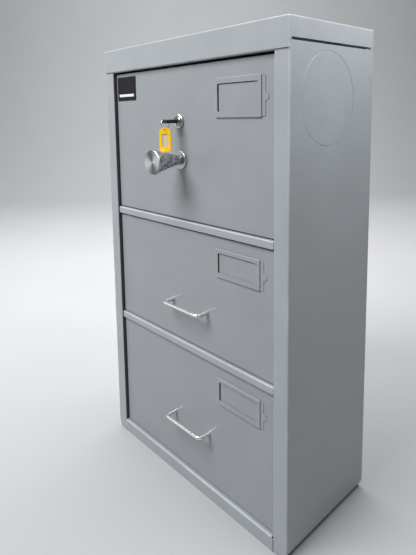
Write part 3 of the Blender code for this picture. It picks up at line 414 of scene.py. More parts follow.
# %% Cast and moulded finishes
def cast_skin():
    """Sand-grained casting: two sizes of noise set roughness, shade and relief."""
    made, tree, shader, where = new_finish("cast_aluminium_body", Metallic=1.0, Roughness=0.5)
    # The grain is 0.5 mm in life, and drawn 1.6 mm so that it shows.
    grain = noise(tree, where["Object"], 1.6 * MM, 5.0, 0.7)
    blotch = noise(tree, where["Object"], 7 * MM, 2.0)
    both = add(tree, "ShaderNodeMath", {0: grain, 1: blotch}, operation="ADD").outputs[0]
    feed(shader, Base_Color=mixed(tree, mapped(tree, both, 0.88, 1.12), "#84858a", "#dcdddf"),
         Roughness=mapped(tree, both, 0.8, 1.2, 0.62, 0.34), Normal=bump(tree, grain, 0.6, 0.25 * MM))
    return made


def moulded(name, colour, deeper, roughness, grain, relief, **sockets):
    """Moulded plastic: faint flow clouds in its colour and a fine grain from the mould."""
    made, tree, shader, where = new_finish(name, Roughness=roughness, IOR=1.49, **sockets)
    flow = noise(tree, where["Object"], 18 * MM, 2.0)
    texture = noise(tree, where["Object"], grain, 3.0)
    feed(shader, Base_Color=mixed(tree, flow, deeper, colour),
         Roughness=mapped(tree, texture, 0.3, 0.7, roughness * 0.8, roughness * 1.2),
         Normal=bump(tree, texture, 0.5, relief))
    return made


def card_board():
    """Beige board: long pale and dark fibres, stretched noise in two directions."""
    made, tree, shader, where = new_finish("beige_index_card", Roughness=0.85, IOR=1.45)
    # Fibres are a tenth of a millimetre thick in life, and drawn four times as thick.
    fibre = noise(tree, stretched(tree, where["Object"], (400.0, 400.0, 2400.0)), 1.0, 3.0)
    feed(shader, Base_Color=mixed(tree, fibre, "#bda671", "#e2d2a6"))
    return made


cast_metal = cast_skin()
black_nylon = moulded("moulded_black_nylon", "#1c1c1f", "#101012", 0.30, 1.2 * MM, 0.03 * MM)
yellow_plastic = moulded("moulded_yellow_polypropylene", "#ffd012", "#f9c006", 0.24, 4 * MM, 0.03 * MM,
                         Subsurface_Weight=0.15, Subsurface_Radius=(0.004, 0.002, 0.0006))
black_label = moulded("black_label_plastic", "#1d1c1f", "#161518", 0.5, 2 * MM, 0.02 * MM,
                      Specular_IOR_Level=0.2)
pale_bar = moulded("pale_label_print", "#d9dbde", "#cfd1d4", 0.45, 2 * MM, 0.01 * MM)
# Near-black painted shadow for the strips behind the label frames' windows.
shadow_strip_finish = moulded("black_painted_shadow_strip", "#242426", "#1b1b1d", 0.9, 1 * MM, 0.05 * MM)
clear_film = moulded("clear_acetate_film", "#fbfaf4", "#f4f2ea", 0.08, 9 * MM, 0.01 * MM, Alpha=0.12)
beige_card = card_board()
print("cast, moulded and card finishes")

# %% [markdown]
# ## Folded pans
# A lid, a drawer front and a label frame are all pans: a flat face, a quarter-round bend and a
# wall that goes back. The face is a grid whose lines pass the edges of every hole. The bend is
# a stack of loops that start on the face's edge and grow outwards while they drop back.

# %% Shape flats, holes and pans
SHEET = 2 * MM
HOLD = 0.6 * MM          # flat kept beside a bend, so that its shading stays flat
Hole = namedtuple("Hole", "u v half_u half_v radius margin")


def stops(low, high, step, holes=(), axis=0, marks=()):
    """Evenly spread values from low to high, with more at each hole and each mark."""
    values = [np.linspace(low, high, max(1, round((high - low) / step)) + 1), np.array(marks)]
    for hole in holes:
        reach = hole[2 + axis] + hole.margin
        values.append(hole[axis] + np.linspace(-reach, reach, 9))
    return np.unique(np.round(np.concatenate(values), 6))


def loop_round(us, vs):
    """The outer points of a grid, anticlockwise from its lowest corner."""
    sides = [(us[:-1], vs[:1]), (us[-1:], vs[:-1]), (us[:0:-1], vs[-1:]), (us[:1], vs[:0:-1])]
    return np.concatenate([np.stack(np.broadcast_arrays(u, v), -1) for u, v in sides])


def collar(us, vs, hole):
    """Flat ring between a gap in a grid and the hole in it. Each point of the gap's edge is drawn
    to the nearest point of the hole's edge, a rectangle with rounded corners or a circle."""
    centre, half = np.array(hole[:2]), np.array(hole[2:4])
    reach = half + hole.margin + WELD
    edge = loop_round(us[abs(us - centre[0]) < reach[0]], vs[abs(vs - centre[1]) < reach[1]]) - centre
    core = np.clip(edge, hole.radius - half, half - hole.radius)
    away = edge - core
    rim = core + hole.radius * away / np.linalg.norm(away, axis=1, keepdims=True)
    rings = np.stack([edge, rim + 0.3 * (edge - rim), rim]) + centre
    return grid(np.pad(rings, ((0, 0), (0, 0), (0, 1))), wrap=True)


def flat(us, vs, holes=()):
    """Flat grid in u and v with holes. The third number, how far back a point lies, is 0."""
    u, v = np.meshgrid(us, vs)
    whole = grid(np.stack([u, v, 0 * u], -1))
    for hole in holes:
        reach = np.array(hole[2:4]) + hole.margin
        whole = cut(whole, lambda c: (abs(c[:, :2] - hole[:2]) < reach).all(axis=1))
    return merge(whole, *[collar(us, vs, hole) for hole in holes])


QUARTER = np.radians(np.linspace(0, 90, 6))


def fold_points(radius):
    """A quarter circle that rounds the corner at (0, 0), from (radius, 0) to (0, radius)."""
    return radius * np.stack([1 - np.sin(QUARTER), 1 - np.cos(QUARTER)], -1)


def quarter(along, radius, size):
    """The same for a corner at (along, radius), from a face that ends there to a side that goes
    on from there."""
    return fold_points(size)[:, ::-1] * (1, -1) + (along, radius)


def loops_outside(us, vs, grow, square=(False,) * 4, open_top=False):
    """Loops round a grid, one for each value of grow, that many metres outside its edge. Each
    corner is a quarter circle about the grid's corner, or a mitre where square says so."""
    grow = np.asarray(grow, float)[:, None, None]
    arc = np.stack([np.cos(QUARTER), np.sin(QUARTER)], -1)
    ends = [(us[0], vs[0]), (us[-1], vs[0]), (us[-1], vs[-1]), (us[0], vs[-1])]
    turns = [np.array(turn) for turn in (
        [[-1, 0], [0, -1]], [[0, -1], [1, 0]], [[1, 0], [0, 1]], [[0, 1], [-1, 0]])]
    sides = [(us[1:-1], vs[:1]), (us[-1:], vs[1:-1]), (us[-2:0:-1], vs[-1:]), (us[:1], vs[-2:0:-1])]
    parts = []
    for end, turn, mitre, side in zip(ends, turns, square, sides):
        swing = np.ones_like(arc) @ turn if mitre else arc @ turn
        parts.append(np.array(end) + grow * swing)
        parts.append(np.stack(np.broadcast_arrays(*side), -1) + grow * turn[1])
    if open_top:
        # Down the left side, along the bottom and up the right side
        left = [np.array(ends[3]) + grow * np.array([[-1.0, 0.0]]), parts[7]]
        right = [parts[3], np.array(ends[2]) + grow * np.array([[1.0, 0.0]])]
        return np.concatenate(left + parts[:3] + right, axis=1)
    return np.concatenate(parts, axis=1)


def bend_rows(radius, corner, levels):
    """How far out and how far back each loop of a bend lies: out by the sine and back by one
    less the cosine of the angle turned through, then straight back to each level."""
    out = corner - radius + radius * np.sin(QUARTER)
    back = radius * (1 - np.cos(QUARTER))
    grow = np.concatenate([[0, max(0, corner - radius - HOLD)], out, [corner] * (1 + len(levels))])
    return grow, np.concatenate([[0, 0], back, [radius + HOLD], levels])


def pan(us, vs, radius, corner, levels, holes=(), square=(False,) * 4, closed=False):
    """Face, bend and wall in one. closed brings the last loop to a point, which shuts the back."""
    grow, back = bend_rows(radius, corner, levels)
    loops = loops_outside(us, vs, grow, square)
    rows = np.concatenate([loops, np.broadcast_to(back[:, None, None], (*loops.shape[:2], 1))], -1)
    if closed:
        centre = np.array([us.mean(), vs.mean(), back[-1]])
        rows = np.concatenate([rows, np.broadcast_to(centre, (1, *rows.shape[1:]))])
    return merge(flat(us, vs, holes), grid(rows, wrap=True, flip=True))


def facing(shape, way, level):
    """Stands a flat shape up: u, v and back become x, y and z for a face that looks that way."""
    u, v, back = shape.points.T
    spots = {"front": (u, level + back, v), "rear": (-u, level - back, v), "up": (u, v, level - back),
             "down": (u, -v, level + back), "right": (level - back, u, v)}
    return Shape(np.stack(spots[way], -1), shape.faces, shape.uv)


print("a bend has", len(QUARTER), "loops")

# %% [markdown]
# ## The shell
# One sheet runs down the left side, under the cabinet and up the right, with the stiles folded
# in at the front and rounded bottom corners. As loops, that is a U carried from the back to the
# front, round a 4 mm bend and across each stile, where it turns back into the opening. The
# round hole in the right side takes a blanking cover.

# %% Shell
CORNER = 20 * MM         # radius of the two bottom edges
EDGE = 4 * MM            # radius of the folded front edges
STILE_FOLD = 1.5 * MM
TOP_FOLD = 25 * MM       # how far the walls turn in on top
COVER_FLANGE = 7 * MM    # how much wider the cover is inside than the disc that shows
opening = limits("plinth")[1][0] + 1.0 * MM
cover = limits("side_cover")
cover_radius = (cover[1][2] - cover[0][2]) / 2 - COVER_FLANGE
cover_hole = Hole(*middle("side_cover")[1:], *[cover_radius + 0.4 * MM] * 3, 8 * MM)


def shell_shape():
    """The U of loops, its stiles, the header over the opening and the inward fold on top."""
    marks = [side * (opening + STILE_FOLD + extra) for side in (-1, 1) for extra in (0, HOLD)]
    us = stops(CORNER - SIDE, SIDE - CORNER, 20 * MM, marks=marks)
    vs = stops(CORNER, shell_high[2], 12 * MM, [cover_hole], 1)
    ys = stops(FRONT + EDGE + HOLD, BACK, 12 * MM, [cover_hole], 0)[::-1]
    roll = EDGE * (1 - np.sin(QUARTER))
    inset = np.concatenate([0 * ys, EDGE * (1 - np.cos(QUARTER)), [EDGE + HOLD]])
    depth = np.concatenate([ys - FRONT, roll, [0]])
    loops = loops_outside(us, vs, CORNER - inset, open_top=True)
    x, z = np.moveaxis(loops, -1, 0)
    wall = grid(np.stack([x, np.broadcast_to(FRONT + depth[:, None], x.shape), z], -1))
    stile_x = opening + STILE_FOLD
    reach = np.array(cover_hole[2:4]) + cover_hole.margin

    def gone(c):
        """Faces where the plinth and drawers stand, and those in the way of the cover."""
        under_plinth = (abs(c[:, 0]) < stile_x) & (c[:, 1] < FRONT + EDGE + HOLD)
        in_gap = (c[:, 0] > SIDE - WELD) & (abs(c[:, 1:] - cover_hole[:2]) < reach).all(axis=1)
        return under_plinth | in_gap

    parts = [cut(wall, gone), facing(collar(ys[::-1], vs, cover_hole), "right", SIDE)]
    inward_fold = [(STILE_FOLD + HOLD, 0), *fold_points(STILE_FOLD), (0, STILE_FOLD + HOLD), (0, CORNER)]
    for side in (-1, 1):
        edge = wall.points.reshape(len(depth), -1, 3)[-1]
        edge = edge[edge[:, 0] * side > SIDE - CORNER - WELD]
        rows = [edge] + [edge * (0, 0, 1) + (side * (opening + out), FRONT + back, 0)
                         for out, back in inward_fold]
        parts.append(grid(np.stack(rows)))
    return parts, stile_x


def strip(profile, xs):
    """Carries a (y, z) profile along x, with a row at each of the xs."""
    rows = [np.column_stack([np.full(len(profile), x), profile]) for x in xs]
    return outward(grid(np.stack(rows)))


shell_parts, stile_x = shell_shape()
header_low = limits("top_cap")[0][2] - 2 * MM
header = np.concatenate([[[FRONT + CORNER, header_low]], fold_points(STILE_FOLD) + (FRONT, header_low),
                         [[FRONT, shell_high[2]]]])
header_end = stile_x - 0.05 * MM
top_fold = np.stack([
    np.pad(loop_round(np.array([inset - SIDE, SIDE - inset]), np.array([inset - BACK, BACK - inset])),
           ((0, 0), (0, 1))) for inset in (SHEET, TOP_FOLD)])
shell_skin = merge(*[outward(part) if i != 1 else part for i, part in enumerate(shell_parts)],
                   strip(header, (-header_end, header_end)),
                   facing(grid(top_fold, wrap=True), "up", shell_high[2]))


def painted_shade_inside(c):
    """Faces behind the front plane and away from the outer walls, which take the dark grey as painted shade.
    """
    within = (abs(c[:, 0]) < SIDE - 1 * MM) & (c[:, 2] > 1 * MM)
    return within & (c[:, 1] > FRONT + 1.3 * MM) & (c[:, 1] < BACK - 1 * MM)


piece("shell_sheet", shell_skin, body_paint, "cabinet", ["body_shell"], thick=SHEET,
      deburr=0.3 * MM, second=(inside_grey_and_gap_shade, painted_shade_inside))

# %% [markdown]
# ## The blanking cover and the back
# The cover is a pressed disc with a wider flange that rests on the inside of the wall, so from
# outside only a fine circle shows. It is a profile turned about a line. The back is one large
# pan let in between the walls, round below and square above.

# %% Turned shapes, the cover and the back
def turned(profile, centre, axis="y", sides=96):
    """Turns a profile of (along, radius) about a line through centre. Each row is a circle:
    radius times the cosine and the sine of the angle."""
    along, radius = np.asarray(profile, float).T
    angle = np.linspace(0, 2 * np.pi, sides, endpoint=False)
    a, b = radius[:, None] * np.cos(angle), radius[:, None] * np.sin(angle)
    level = np.broadcast_to(along[:, None], a.shape)
    spots = {"y": (centre[0] + a, level, centre[2] + b), "x": (level, centre[1] + a, centre[2] + b)}
    return outward(grid(np.stack(spots[axis], -1), wrap=True))


flange_radius = cover_radius + COVER_FLANGE
cover_profile = np.concatenate([
    [[0, 0], [0, cover_radius - 3 * HOLD]], quarter(0, cover_radius, 0.8 * MM),
    [[2.2 * MM, cover_radius], [2.3 * MM, flange_radius], [3.8 * MM, flange_radius], [3.8 * MM, 0]],
]) * (-1, 1) + (SIDE, 0)
piece("blanking_cover", turned(cover_profile, middle("side_cover"), "x"), body_paint, "cabinet",
      ["side_cover"])

back_low, back_high = limits("back_panel")
back_corner = CORNER - 2.3 * MM
back_us = stops(back_corner + back_low[0], back_high[0] - back_corner, 30 * MM)
back_vs = stops(back_corner + back_low[2], back_high[2] - back_corner, 30 * MM)
back_pan = pan(back_us, back_vs, 2 * MM, back_corner, [16 * MM], square=(False, False, True, True))
piece("back_pan", facing(back_pan, "rear", BACK), body_paint, "cabinet", ["back_panel"],
      thick=SHEET, deburr=0.3 * MM)

# %% [markdown]
# ## The cap
# The lid is a pan too, deeper in front, where its lip hides the top of the opening. Behind a
# short nose its wall stops above the shell and leaves a shadow gap, in which it stands on an
# inner ring and two small feet.

# %% Cap
cap_low, cap_high = limits("top_cap")
CAP_ROLL = 2 * MM
RING_INSET = 11 * MM     # how far in from the walls the cap's inner ring stands
cap_corner = CAP_ROLL + HOLD
band = 35 * MM
gap_foot = TOP - shell_high[2] - 0.3 * MM
lip = TOP - cap_low[2]
nose_y = FRONT + 5 * MM


def cap_wall_gone(c):
    """Behind the nose the wall ends at the band, and behind the lip at the shell's top."""
    drop = TOP - c[:, 2]
    return ((drop > band) & (c[:, 1] > nose_y)) | ((drop > gap_foot) & (c[:, 1] > FRONT + 0.2 * MM))


cap_us = stops(cap_low[0] + cap_corner, cap_high[0] - cap_corner, 30 * MM)
cap_vs = stops(cap_low[1] + cap_corner, cap_high[1] - cap_corner, 30 * MM, marks=[nose_y])
cap_pan = facing(pan(cap_us, cap_vs, CAP_ROLL, cap_corner, [band, gap_foot, lip]), "up", TOP)
ring_us = np.array([RING_INSET - SIDE, SIDE - RING_INSET])
ring_vs = np.array([nose_y + RING_INSET, BACK - RING_INSET])
ring_loops = loops_outside(ring_us, ring_vs, [1 * MM, 1 * MM])
ring_rows = np.concatenate([ring_loops, np.broadcast_to(np.array([[[3 * MM]], [[gap_foot]]]),
                                                        (2, ring_loops.shape[1], 1))], -1)
cap_ring = facing(grid(ring_rows, wrap=True, flip=True), "up", TOP)
feet = []
for side in (-1, 1):
    foot_us = np.sort(side * np.array([SIDE - 4.0 * MM, SIDE - 1.3 * MM]))
    foot_vs = np.array([6.0 * MM - BACK, 9.0 * MM - BACK])
    feet.append(facing(pan(foot_us, foot_vs, 0.4 * MM, HOLD + 0.4 * MM, [6 * MM]), "down", TOP - gap_foot))
piece("cap_lid", merge(cut(cap_pan, cap_wall_gone), cap_ring, *feet), body_paint, "cabinet",
      ["top_cap"], thick=SHEET, deburr=0.3 * MM)

# %% [markdown]
# ## Plinth and rails
# The plinth closes the foot of the opening. It is a channel whose top rolls over a generous
# bend, which catches the light all along. At its right end the bend is relieved, so that a
# small dark notch sits over an open seam. Two rails divide the drawers. Each shows a narrow face
# with rounded edges and has wider ears behind the stiles.

# %% Plinth and rails
plinth_low, plinth_high = limits("plinth")
NOTCH = 3.4 * MM
ledge = plinth_high[2]
plinth_back = plinth_high[1]


def plinth_shape():
    """A (y, z) profile, up the front, round the ledge, back and down, carried along x."""
    profile = np.concatenate([
        [[FRONT, 0], [FRONT, ledge - EDGE - HOLD]], quarter(FRONT, ledge, EDGE),
        [[FRONT + EDGE + HOLD, ledge]], (plinth_back, ledge) - fold_points(SHEET),
        [[plinth_back, 2.3 * MM]]])
    xs = np.append(np.linspace(plinth_low[0], plinth_high[0] - NOTCH, 24), plinth_high[0])

    def relieved(c):
        """Faces of the bend at the right end, where the sheet is notched."""
        on_bend = (c[:, 1] > FRONT + 0.02 * MM) & (c[:, 1] < FRONT + EDGE) & (c[:, 2] > ledge - EDGE)
        return on_bend & (c[:, 0] > plinth_high[0] - NOTCH)

    return cut(strip(profile, xs), relieved)


piece("plinth_channel", plinth_shape(), body_paint, "cabinet", ["plinth"], thick=SHEET,
      deburr=0.2 * MM)


def rail_shape(node):
    """A shallow pan for the face, and an ear at each end behind the stiles."""
    low, high = limits(node)
    face_x = opening - 1.8 * MM
    roll, corner = 3 * MM, 3 * MM + HOLD
    us = stops(corner - face_x, face_x - corner, 25 * MM)
    vs = np.array([low[2] + corner, high[2] - corner])
    face = facing(pan(us, vs, roll, corner, [high[1] - low[1]]), "front", low[1])
    ears = []
    for side in (-1, 1):
        ear_us = np.sort(side * np.array([face_x - 1 * MM, high[0] - 1 * MM]))
        ear_vs = np.array([low[2] + 1 * MM, high[2] - 1 * MM])
        ears.append(facing(pan(ear_us, ear_vs, 0.4 * MM, 1 * MM, [12 * MM]), "front", high[1] - 12 * MM))
    return merge(face, *ears)


for rail in ("upper_rail", "lower_rail"):
    low = limits(rail)[0]
    # The rail's underside behind its face takes the dark grey: painted shade for the gap over the drawer
    # below.
    piece(f"{rail}_channel", rail_shape(rail), body_paint, "cabinet", [rail], thick=SHEET,
          deburr=0.2 * MM, second=(inside_grey_and_gap_shade, lambda c: (c[:, 1] > low[1] + 0.8 * MM)
                                   & (c[:, 2] < low[2] + 2.1 * MM)))

# %% [markdown]
# ## Drawer fronts
# Each front is a deep pan. The top one is punched for the lock, the spindle and the two bolts
# that leave through its side walls, and the lower ones for the screws of their pulls. The holes
# are hidden when all is shut, but a real blank has them, and so the parts pass through cleanly.

# %% Drawer fronts
FRONT_ROLL = 1.8 * MM
front_corner = FRONT_ROLL + HOLD
bolt_low, bolt_high = limits("lock_bolt_left")
SLOT_ROOM = 0.5 * MM
LOCK_HOLE, SPINDLE_HOLE, SCREW_HOLE = 9.3 * MM, 6.6 * MM, 2.2 * MM       # radii


def drawer_front(drawer, holes):
    """The pan of one front, from its box and its holes."""
    low, high = limits(f"{drawer}_front")
    slot_y, slot_z, levels = [], [], [high[1] - low[1]]
    if drawer == "top":
        room = np.array([-SLOT_ROOM, SLOT_ROOM])
        slot_y = np.array([bolt_low[1], bolt_high[1]]) + room
        slot_z = np.array([bolt_low[2], bolt_high[2]]) + room
        levels = [*(slot_y - low[1]), *levels]
    us = stops(low[0] + front_corner, high[0] - front_corner, 24 * MM, holes, 0)
    vs = stops(low[2] + front_corner, high[2] - front_corner, 24 * MM, holes, 1, slot_z)
    shape = facing(pan(us, vs, FRONT_ROLL, front_corner, levels, holes), "front", low[1])
    if drawer == "top":
        shape = cut(shape, lambda c: (abs(c[:, 0]) > high[0] - WELD) & (c[:, 1] > slot_y[0])
                    & (c[:, 1] < slot_y[1]) & (c[:, 2] > slot_z[0]) & (c[:, 2] < slot_z[1]))
    return shape


def round_hole(node, radius, margin):
    """A hole on the line of a part, with that much flat sheet kept round it."""
    x, _, z = middle(node)
    return Hole(x, z, radius, radius, radius, margin)


front_holes = {"top": [round_hole("lock_rosette", LOCK_HOLE, 14 * MM),
                       round_hole("knob_rosette", SPINDLE_HOLE, 14 * MM)]}
for drawer in ("middle", "bottom"):
    screws = [f"{drawer}_pull_screw_{hand}" for hand in ("left", "right")]
    front_holes[drawer] = [round_hole(screw, SCREW_HOLE, 9 * MM) for screw in screws]
for drawer, holes in front_holes.items():
    low, high = limits(f"{drawer}_front")
    # The top wall behind each front's roll takes the dark grey: painted shade for the gap above the front.
    piece(f"{drawer}_drawer_front", drawer_front(drawer, holes), front_paint, f"{drawer}_drawer",
          [f"{drawer}_front"], thick=SHEET, deburr=0.2 * MM,
          second=(inside_grey_and_gap_shade, lambda c: (c[:, 1] > low[1] + 1.9 * MM) & (c[:, 2] > high[2] - 2.1 * MM)))

# %% [markdown]
# ## Label holders
# A thin pressed frame with a rounded window stands on each front, open at its right end. A plate
# slides in from there and keeps a thumb tab outside. Along the window's left and top edges a
# near-black strip sits inside the frame: painted shadow for the shade in the gap there. The
# frame is a pan with a window and no right wall. The plate is a grid whose right edge is bent to
# the outline: each row ends at a width that depends on its height.

# %% Label frames and plates
LABEL_SKIN = 1.0 * MM
PLATE_THICK = 0.8 * MM
SHADOW_STRIP_GAP = 0.1 * MM
SHADOW_STRIP_SHOWS = 1.9 * MM     # how much of the near-black strip of painted shadow shows beside the window's edge
LABEL_CORNER = 3 * MM
TAB_RADIUS = 7.5 * MM
WINDOW_MARGINS = {        # left, below, right and above the window
    "top": (6.0, 11.0, 8.0, 11.0), "middle": (6.7, 9.5, 6.2, 8.5), "bottom": (6.2, 9.5, 6.2, 8.5)}


def label_frame(drawer):
    """A shallow pan with a rounded window, cut away where the plate goes in."""
    low, high = limits(f"{drawer}_label_frame")
    left, below, right, above = np.array(WINDOW_MARGINS[drawer]) * MM
    x0, x1, z0, z1 = low[0] + left, high[0] - right, low[2] + below, high[2] - above
    window = Hole((x0 + x1) / 2, (z0 + z1) / 2, (x1 - x0) / 2, (z1 - z0) / 2, 1.8 * MM, 1.6 * MM)
    roll, corner = 1.2 * MM, 1.8 * MM
    us = stops(low[0] + corner, high[0] - corner, 20 * MM, [window], 0)
    vs = stops(low[2] + corner, high[2] - corner, 20 * MM, [window], 1)
    shape = facing(pan(us, vs, roll, corner, [high[1] - low[1]], [window]), "front", low[1])
    frame_skin = cut(shape, lambda c: (c[:, 0] > high[0] - WELD) & (c[:, 1] > low[1] + LABEL_SKIN))
    # Near-black strips behind the window's left and top edges are painted shadow.
    behind = low[1] + LABEL_SKIN + SHADOW_STRIP_GAP
    upright = flat(np.array([x0 - 2 * MM, x0 + SHADOW_STRIP_SHOWS]), np.array([z0 - 2 * MM, z1 + 2 * MM]))
    level = flat(np.array([x0 + SHADOW_STRIP_SHOWS, x1 + 2 * MM]), np.array([z1 - 0.7 * SHADOW_STRIP_SHOWS, z1 + 2 * MM]))
    strips = facing(merge(upright, level), "front", behind)

    def in_shadow_strip(c):
        """Faces of the near-black strips of painted shadow, which lie behind the frame's skin and near the
        window.
        """
        behind_skin = (c[:, 1] > behind - SHADOW_STRIP_GAP / 2) & (c[:, 1] < behind + LABEL_SKIN + WELD)
        margin = 2.1 * MM
        across = (c[:, 0] > x0 - margin) & (c[:, 0] < x1 + margin)
        return behind_skin & across & (c[:, 2] > z0 - margin) & (c[:, 2] < z1 + margin)

    return merge(frame_skin, strips), in_shadow_strip


def label_plate(drawer):
    """Rows from the plate's left edge to an outline made of two rounded corners and a tab."""
    low, high = limits(f"{drawer}_label_insert")
    frame_low, frame_high = limits(f"{drawer}_label_frame")
    edge = high[0] - TAB_RADIUS
    centre = (frame_low[2] + frame_high[2]) / 2 - LABEL_CORNER / 2
    arc = LABEL_CORNER * (1 - np.cos(QUARTER))
    tab = centre + TAB_RADIUS * np.sin(np.radians(np.linspace(-90, 90, 19)))
    zs = np.unique(np.round(np.concatenate([low[2] + arc, tab, high[2] - arc]), 6))
    near_end = np.minimum(zs - low[2], high[2] - zs)
    missing = np.clip(LABEL_CORNER - near_end, 0, LABEL_CORNER)
    xs = edge - LABEL_CORNER + np.sqrt(LABEL_CORNER ** 2 - missing ** 2)
    xs = xs + np.sqrt(np.clip(TAB_RADIUS ** 2 - (zs - centre) ** 2, 0, None))
    share = np.linspace(0, 1, 12)
    x = low[0] + share * (xs[:, None] - low[0])
    y = np.full_like(x, high[1] - PLATE_THICK / 2)
    return grid(np.stack([x, y, np.broadcast_to(zs[:, None], x.shape)], -1))


for drawer in ("top", "middle", "bottom"):
    holder, in_shadow_strip = label_frame(drawer)
    piece(f"{drawer}_label_holder", holder, front_paint, f"{drawer}_drawer", [f"{drawer}_label_frame"],
          thick=LABEL_SKIN, deburr=0.4 * MM, second=(shadow_strip_finish, in_shadow_strip))
    piece(f"{drawer}_label_plate", label_plate(drawer), front_paint, f"{drawer}_insert",
          [f"{drawer}_label_insert"], thick=PLATE_THICK, offset=0, deburr=0.15 * MM)

# %% [markdown]
# ## Wire pulls
# The lower drawers open with an 8 mm wire bent into a square bow. A circle is carried along the
# bow's middle line, and turned square to it at every step.

# %% Wire pulls
def carried(path, radius, normal, sides=24):
    """Carries a circle along a path in a plane with that normal. Each ring is the path's point
    plus the radius times the cosine of an angle outwards and its sine along the normal. A point
    at each end shuts it."""
    along = np.gradient(path, axis=0)
    along /= np.linalg.norm(along, axis=1, keepdims=True)
    out = np.cross(normal, along)
    angle = np.linspace(0, 2 * np.pi, sides, endpoint=False)[:, None]
    rings = path[:, None] + radius * (np.cos(angle) * out[:, None] + np.sin(angle) * np.array(normal))
    ends = [np.broadcast_to(path[i], (1, sides, 3)) for i in (0, -1)]
    return outward(grid(np.concatenate([ends[0], rings, ends[1]]), wrap=True))


PULL_RADIUS = 4 * MM
PULL_BEND = 8 * MM
BEND_TURN = np.radians(np.linspace(0, 90, 13))[:, None]


def pull_path(node):
    """Up one leg, round a quarter circle, along the bar, round again and down the other leg."""
    low, high = limits(node)
    z, bar, foot = (low[2] + high[2]) / 2, low[1] + PULL_RADIUS, high[1]
    left, right = low[0] + PULL_RADIUS, high[0] - PULL_RADIUS
    leg = np.linspace(0, 1, 6)[:, None]
    bend_y = bar + PULL_BEND - PULL_BEND * np.sin(BEND_TURN)
    first = np.hstack([left + PULL_BEND * (1 - np.cos(BEND_TURN)), bend_y])
    up = np.hstack([np.full_like(leg, left), foot + leg * (bar + PULL_BEND - foot)])
    across = np.hstack([left + PULL_BEND + leg * (right - left - 2 * PULL_BEND), np.full_like(leg, bar)])
    half = np.vstack([up[:-1], first])
    other = half[::-1] * (-1, 1) + (left + right, 0)
    flat_path = np.vstack([half, across[1:-1], other])
    return np.column_stack([flat_path, np.full(len(flat_path), z)])


for drawer in ("middle", "bottom"):
    piece(f"{drawer}_wire_pull", carried(pull_path(f"{drawer}_pull"), PULL_RADIUS, (0, 0, 1)), bright_wire,
          f"{drawer}_drawer", [f"{drawer}_pull"], sharp=50)

# %% [markdown]
# ## The badge
# A small black label sits in the top front's corner. Its mark is left out. A plain pale bar
# stands in for it, low down. Both are thin slabs with softened edges.

# %% Badge
badge_low, badge_high = limits("badge")
BAR_AT = (0.10, 0.16, 0.90, 0.27)      # left, low, right and high, as shares of the badge


def slab(low, high, roll, corner):
    """A closed pan: the face between two (x, z) corners, and as thick as the two y values."""
    us = np.array([low[0] + corner, high[0] - corner])
    vs = np.array([low[2] + corner, high[2] - corner])
    return facing(pan(us, vs, roll, corner, [high[1] - low[1]], closed=True), "front", low[1])


BAR_THICK = 0.25 * MM
badge_face = badge_low + (0, BAR_THICK, 0)
badge_size = badge_high - badge_low
bar_low = badge_low + badge_size * (BAR_AT[0], 0, BAR_AT[1])
bar_high = badge_low + badge_size * (BAR_AT[2], 0, BAR_AT[3]) + (0, 2 * BAR_THICK, 0)
piece("black_badge", slab(badge_face, badge_high, 0.3 * MM, 1.2 * MM), black_label, "top_drawer", ["badge"])
piece("badge_bar", slab(bar_low, bar_high, 0.1 * MM, 1.0 * MM), pale_bar, "top_drawer")

# %% [markdown]
# ## Rosettes, lock and knob
# These are all turned on a lathe, so each is a profile turned about its own line: two rosettes
# with chamfered rims, a lock that sits in a recess, and a pull knob that flares to a dished face
# with a bright rim. Only the knob's face is spun smooth. Its side stays as cast.

# %% Rosettes and knob
def rosette(node, hole, recess):
    """Ring with a chamfered rim and a stepped hole, as (y, radius) pairs that close on themselves."""
    low, high = limits(node)
    radius = (high[0] - low[0]) / 2
    face, back = low[1], high[1]
    profile = np.concatenate([
        [[back, hole], [face + recess, hole], [face + recess, hole + 0.8 * MM]],
        [[face + 0.4 * MM, hole + 1.6 * MM], [face, hole + 2.2 * MM], [face, radius - 2.4 * MM]],
        [[face + 0.2 * MM, radius - 1.9 * MM], [face + 1.0 * MM, radius - 0.9 * MM]],
        quarter(face + 1.0 * MM, radius, 0.9 * MM)[1:],
        [[back, radius], [back, hole]]])
    return turned(profile, middle(node))


piece("lock_rosette_turned", rosette("lock_rosette", LOCK_HOLE, 2.0 * MM), rosette_metal, "top_drawer",
      ["lock_rosette"])
piece("knob_rosette_turned", rosette("knob_rosette", 6.1 * MM, 1.0 * MM), rosette_metal, "top_drawer",
      ["knob_rosette"])


def lock_tube(node, hole):
    """Tube with a chamfered front edge. Without a hole it is a solid plug."""
    low, high = limits(node)
    radius = (high[0] - low[0]) / 2
    edge = [[low[1], radius - 0.8 * MM], [low[1] + 0.5 * MM, radius - 0.1 * MM], [low[1] + 1.2 * MM, radius],
            [high[1], radius]]
    ends = [[low[1], hole], *edge, [high[1], hole]] + ([[low[1], hole]] if hole else [])
    return turned(ends, middle(node))


piece("lock_housing_turned", lock_tube("lock_housing", 7.3 * MM), lock_metal, "top_drawer", ["lock_housing"])
piece("lock_plug_turned", lock_tube("lock_plug", 0), lock_metal, "lock_core", ["lock_plug"])


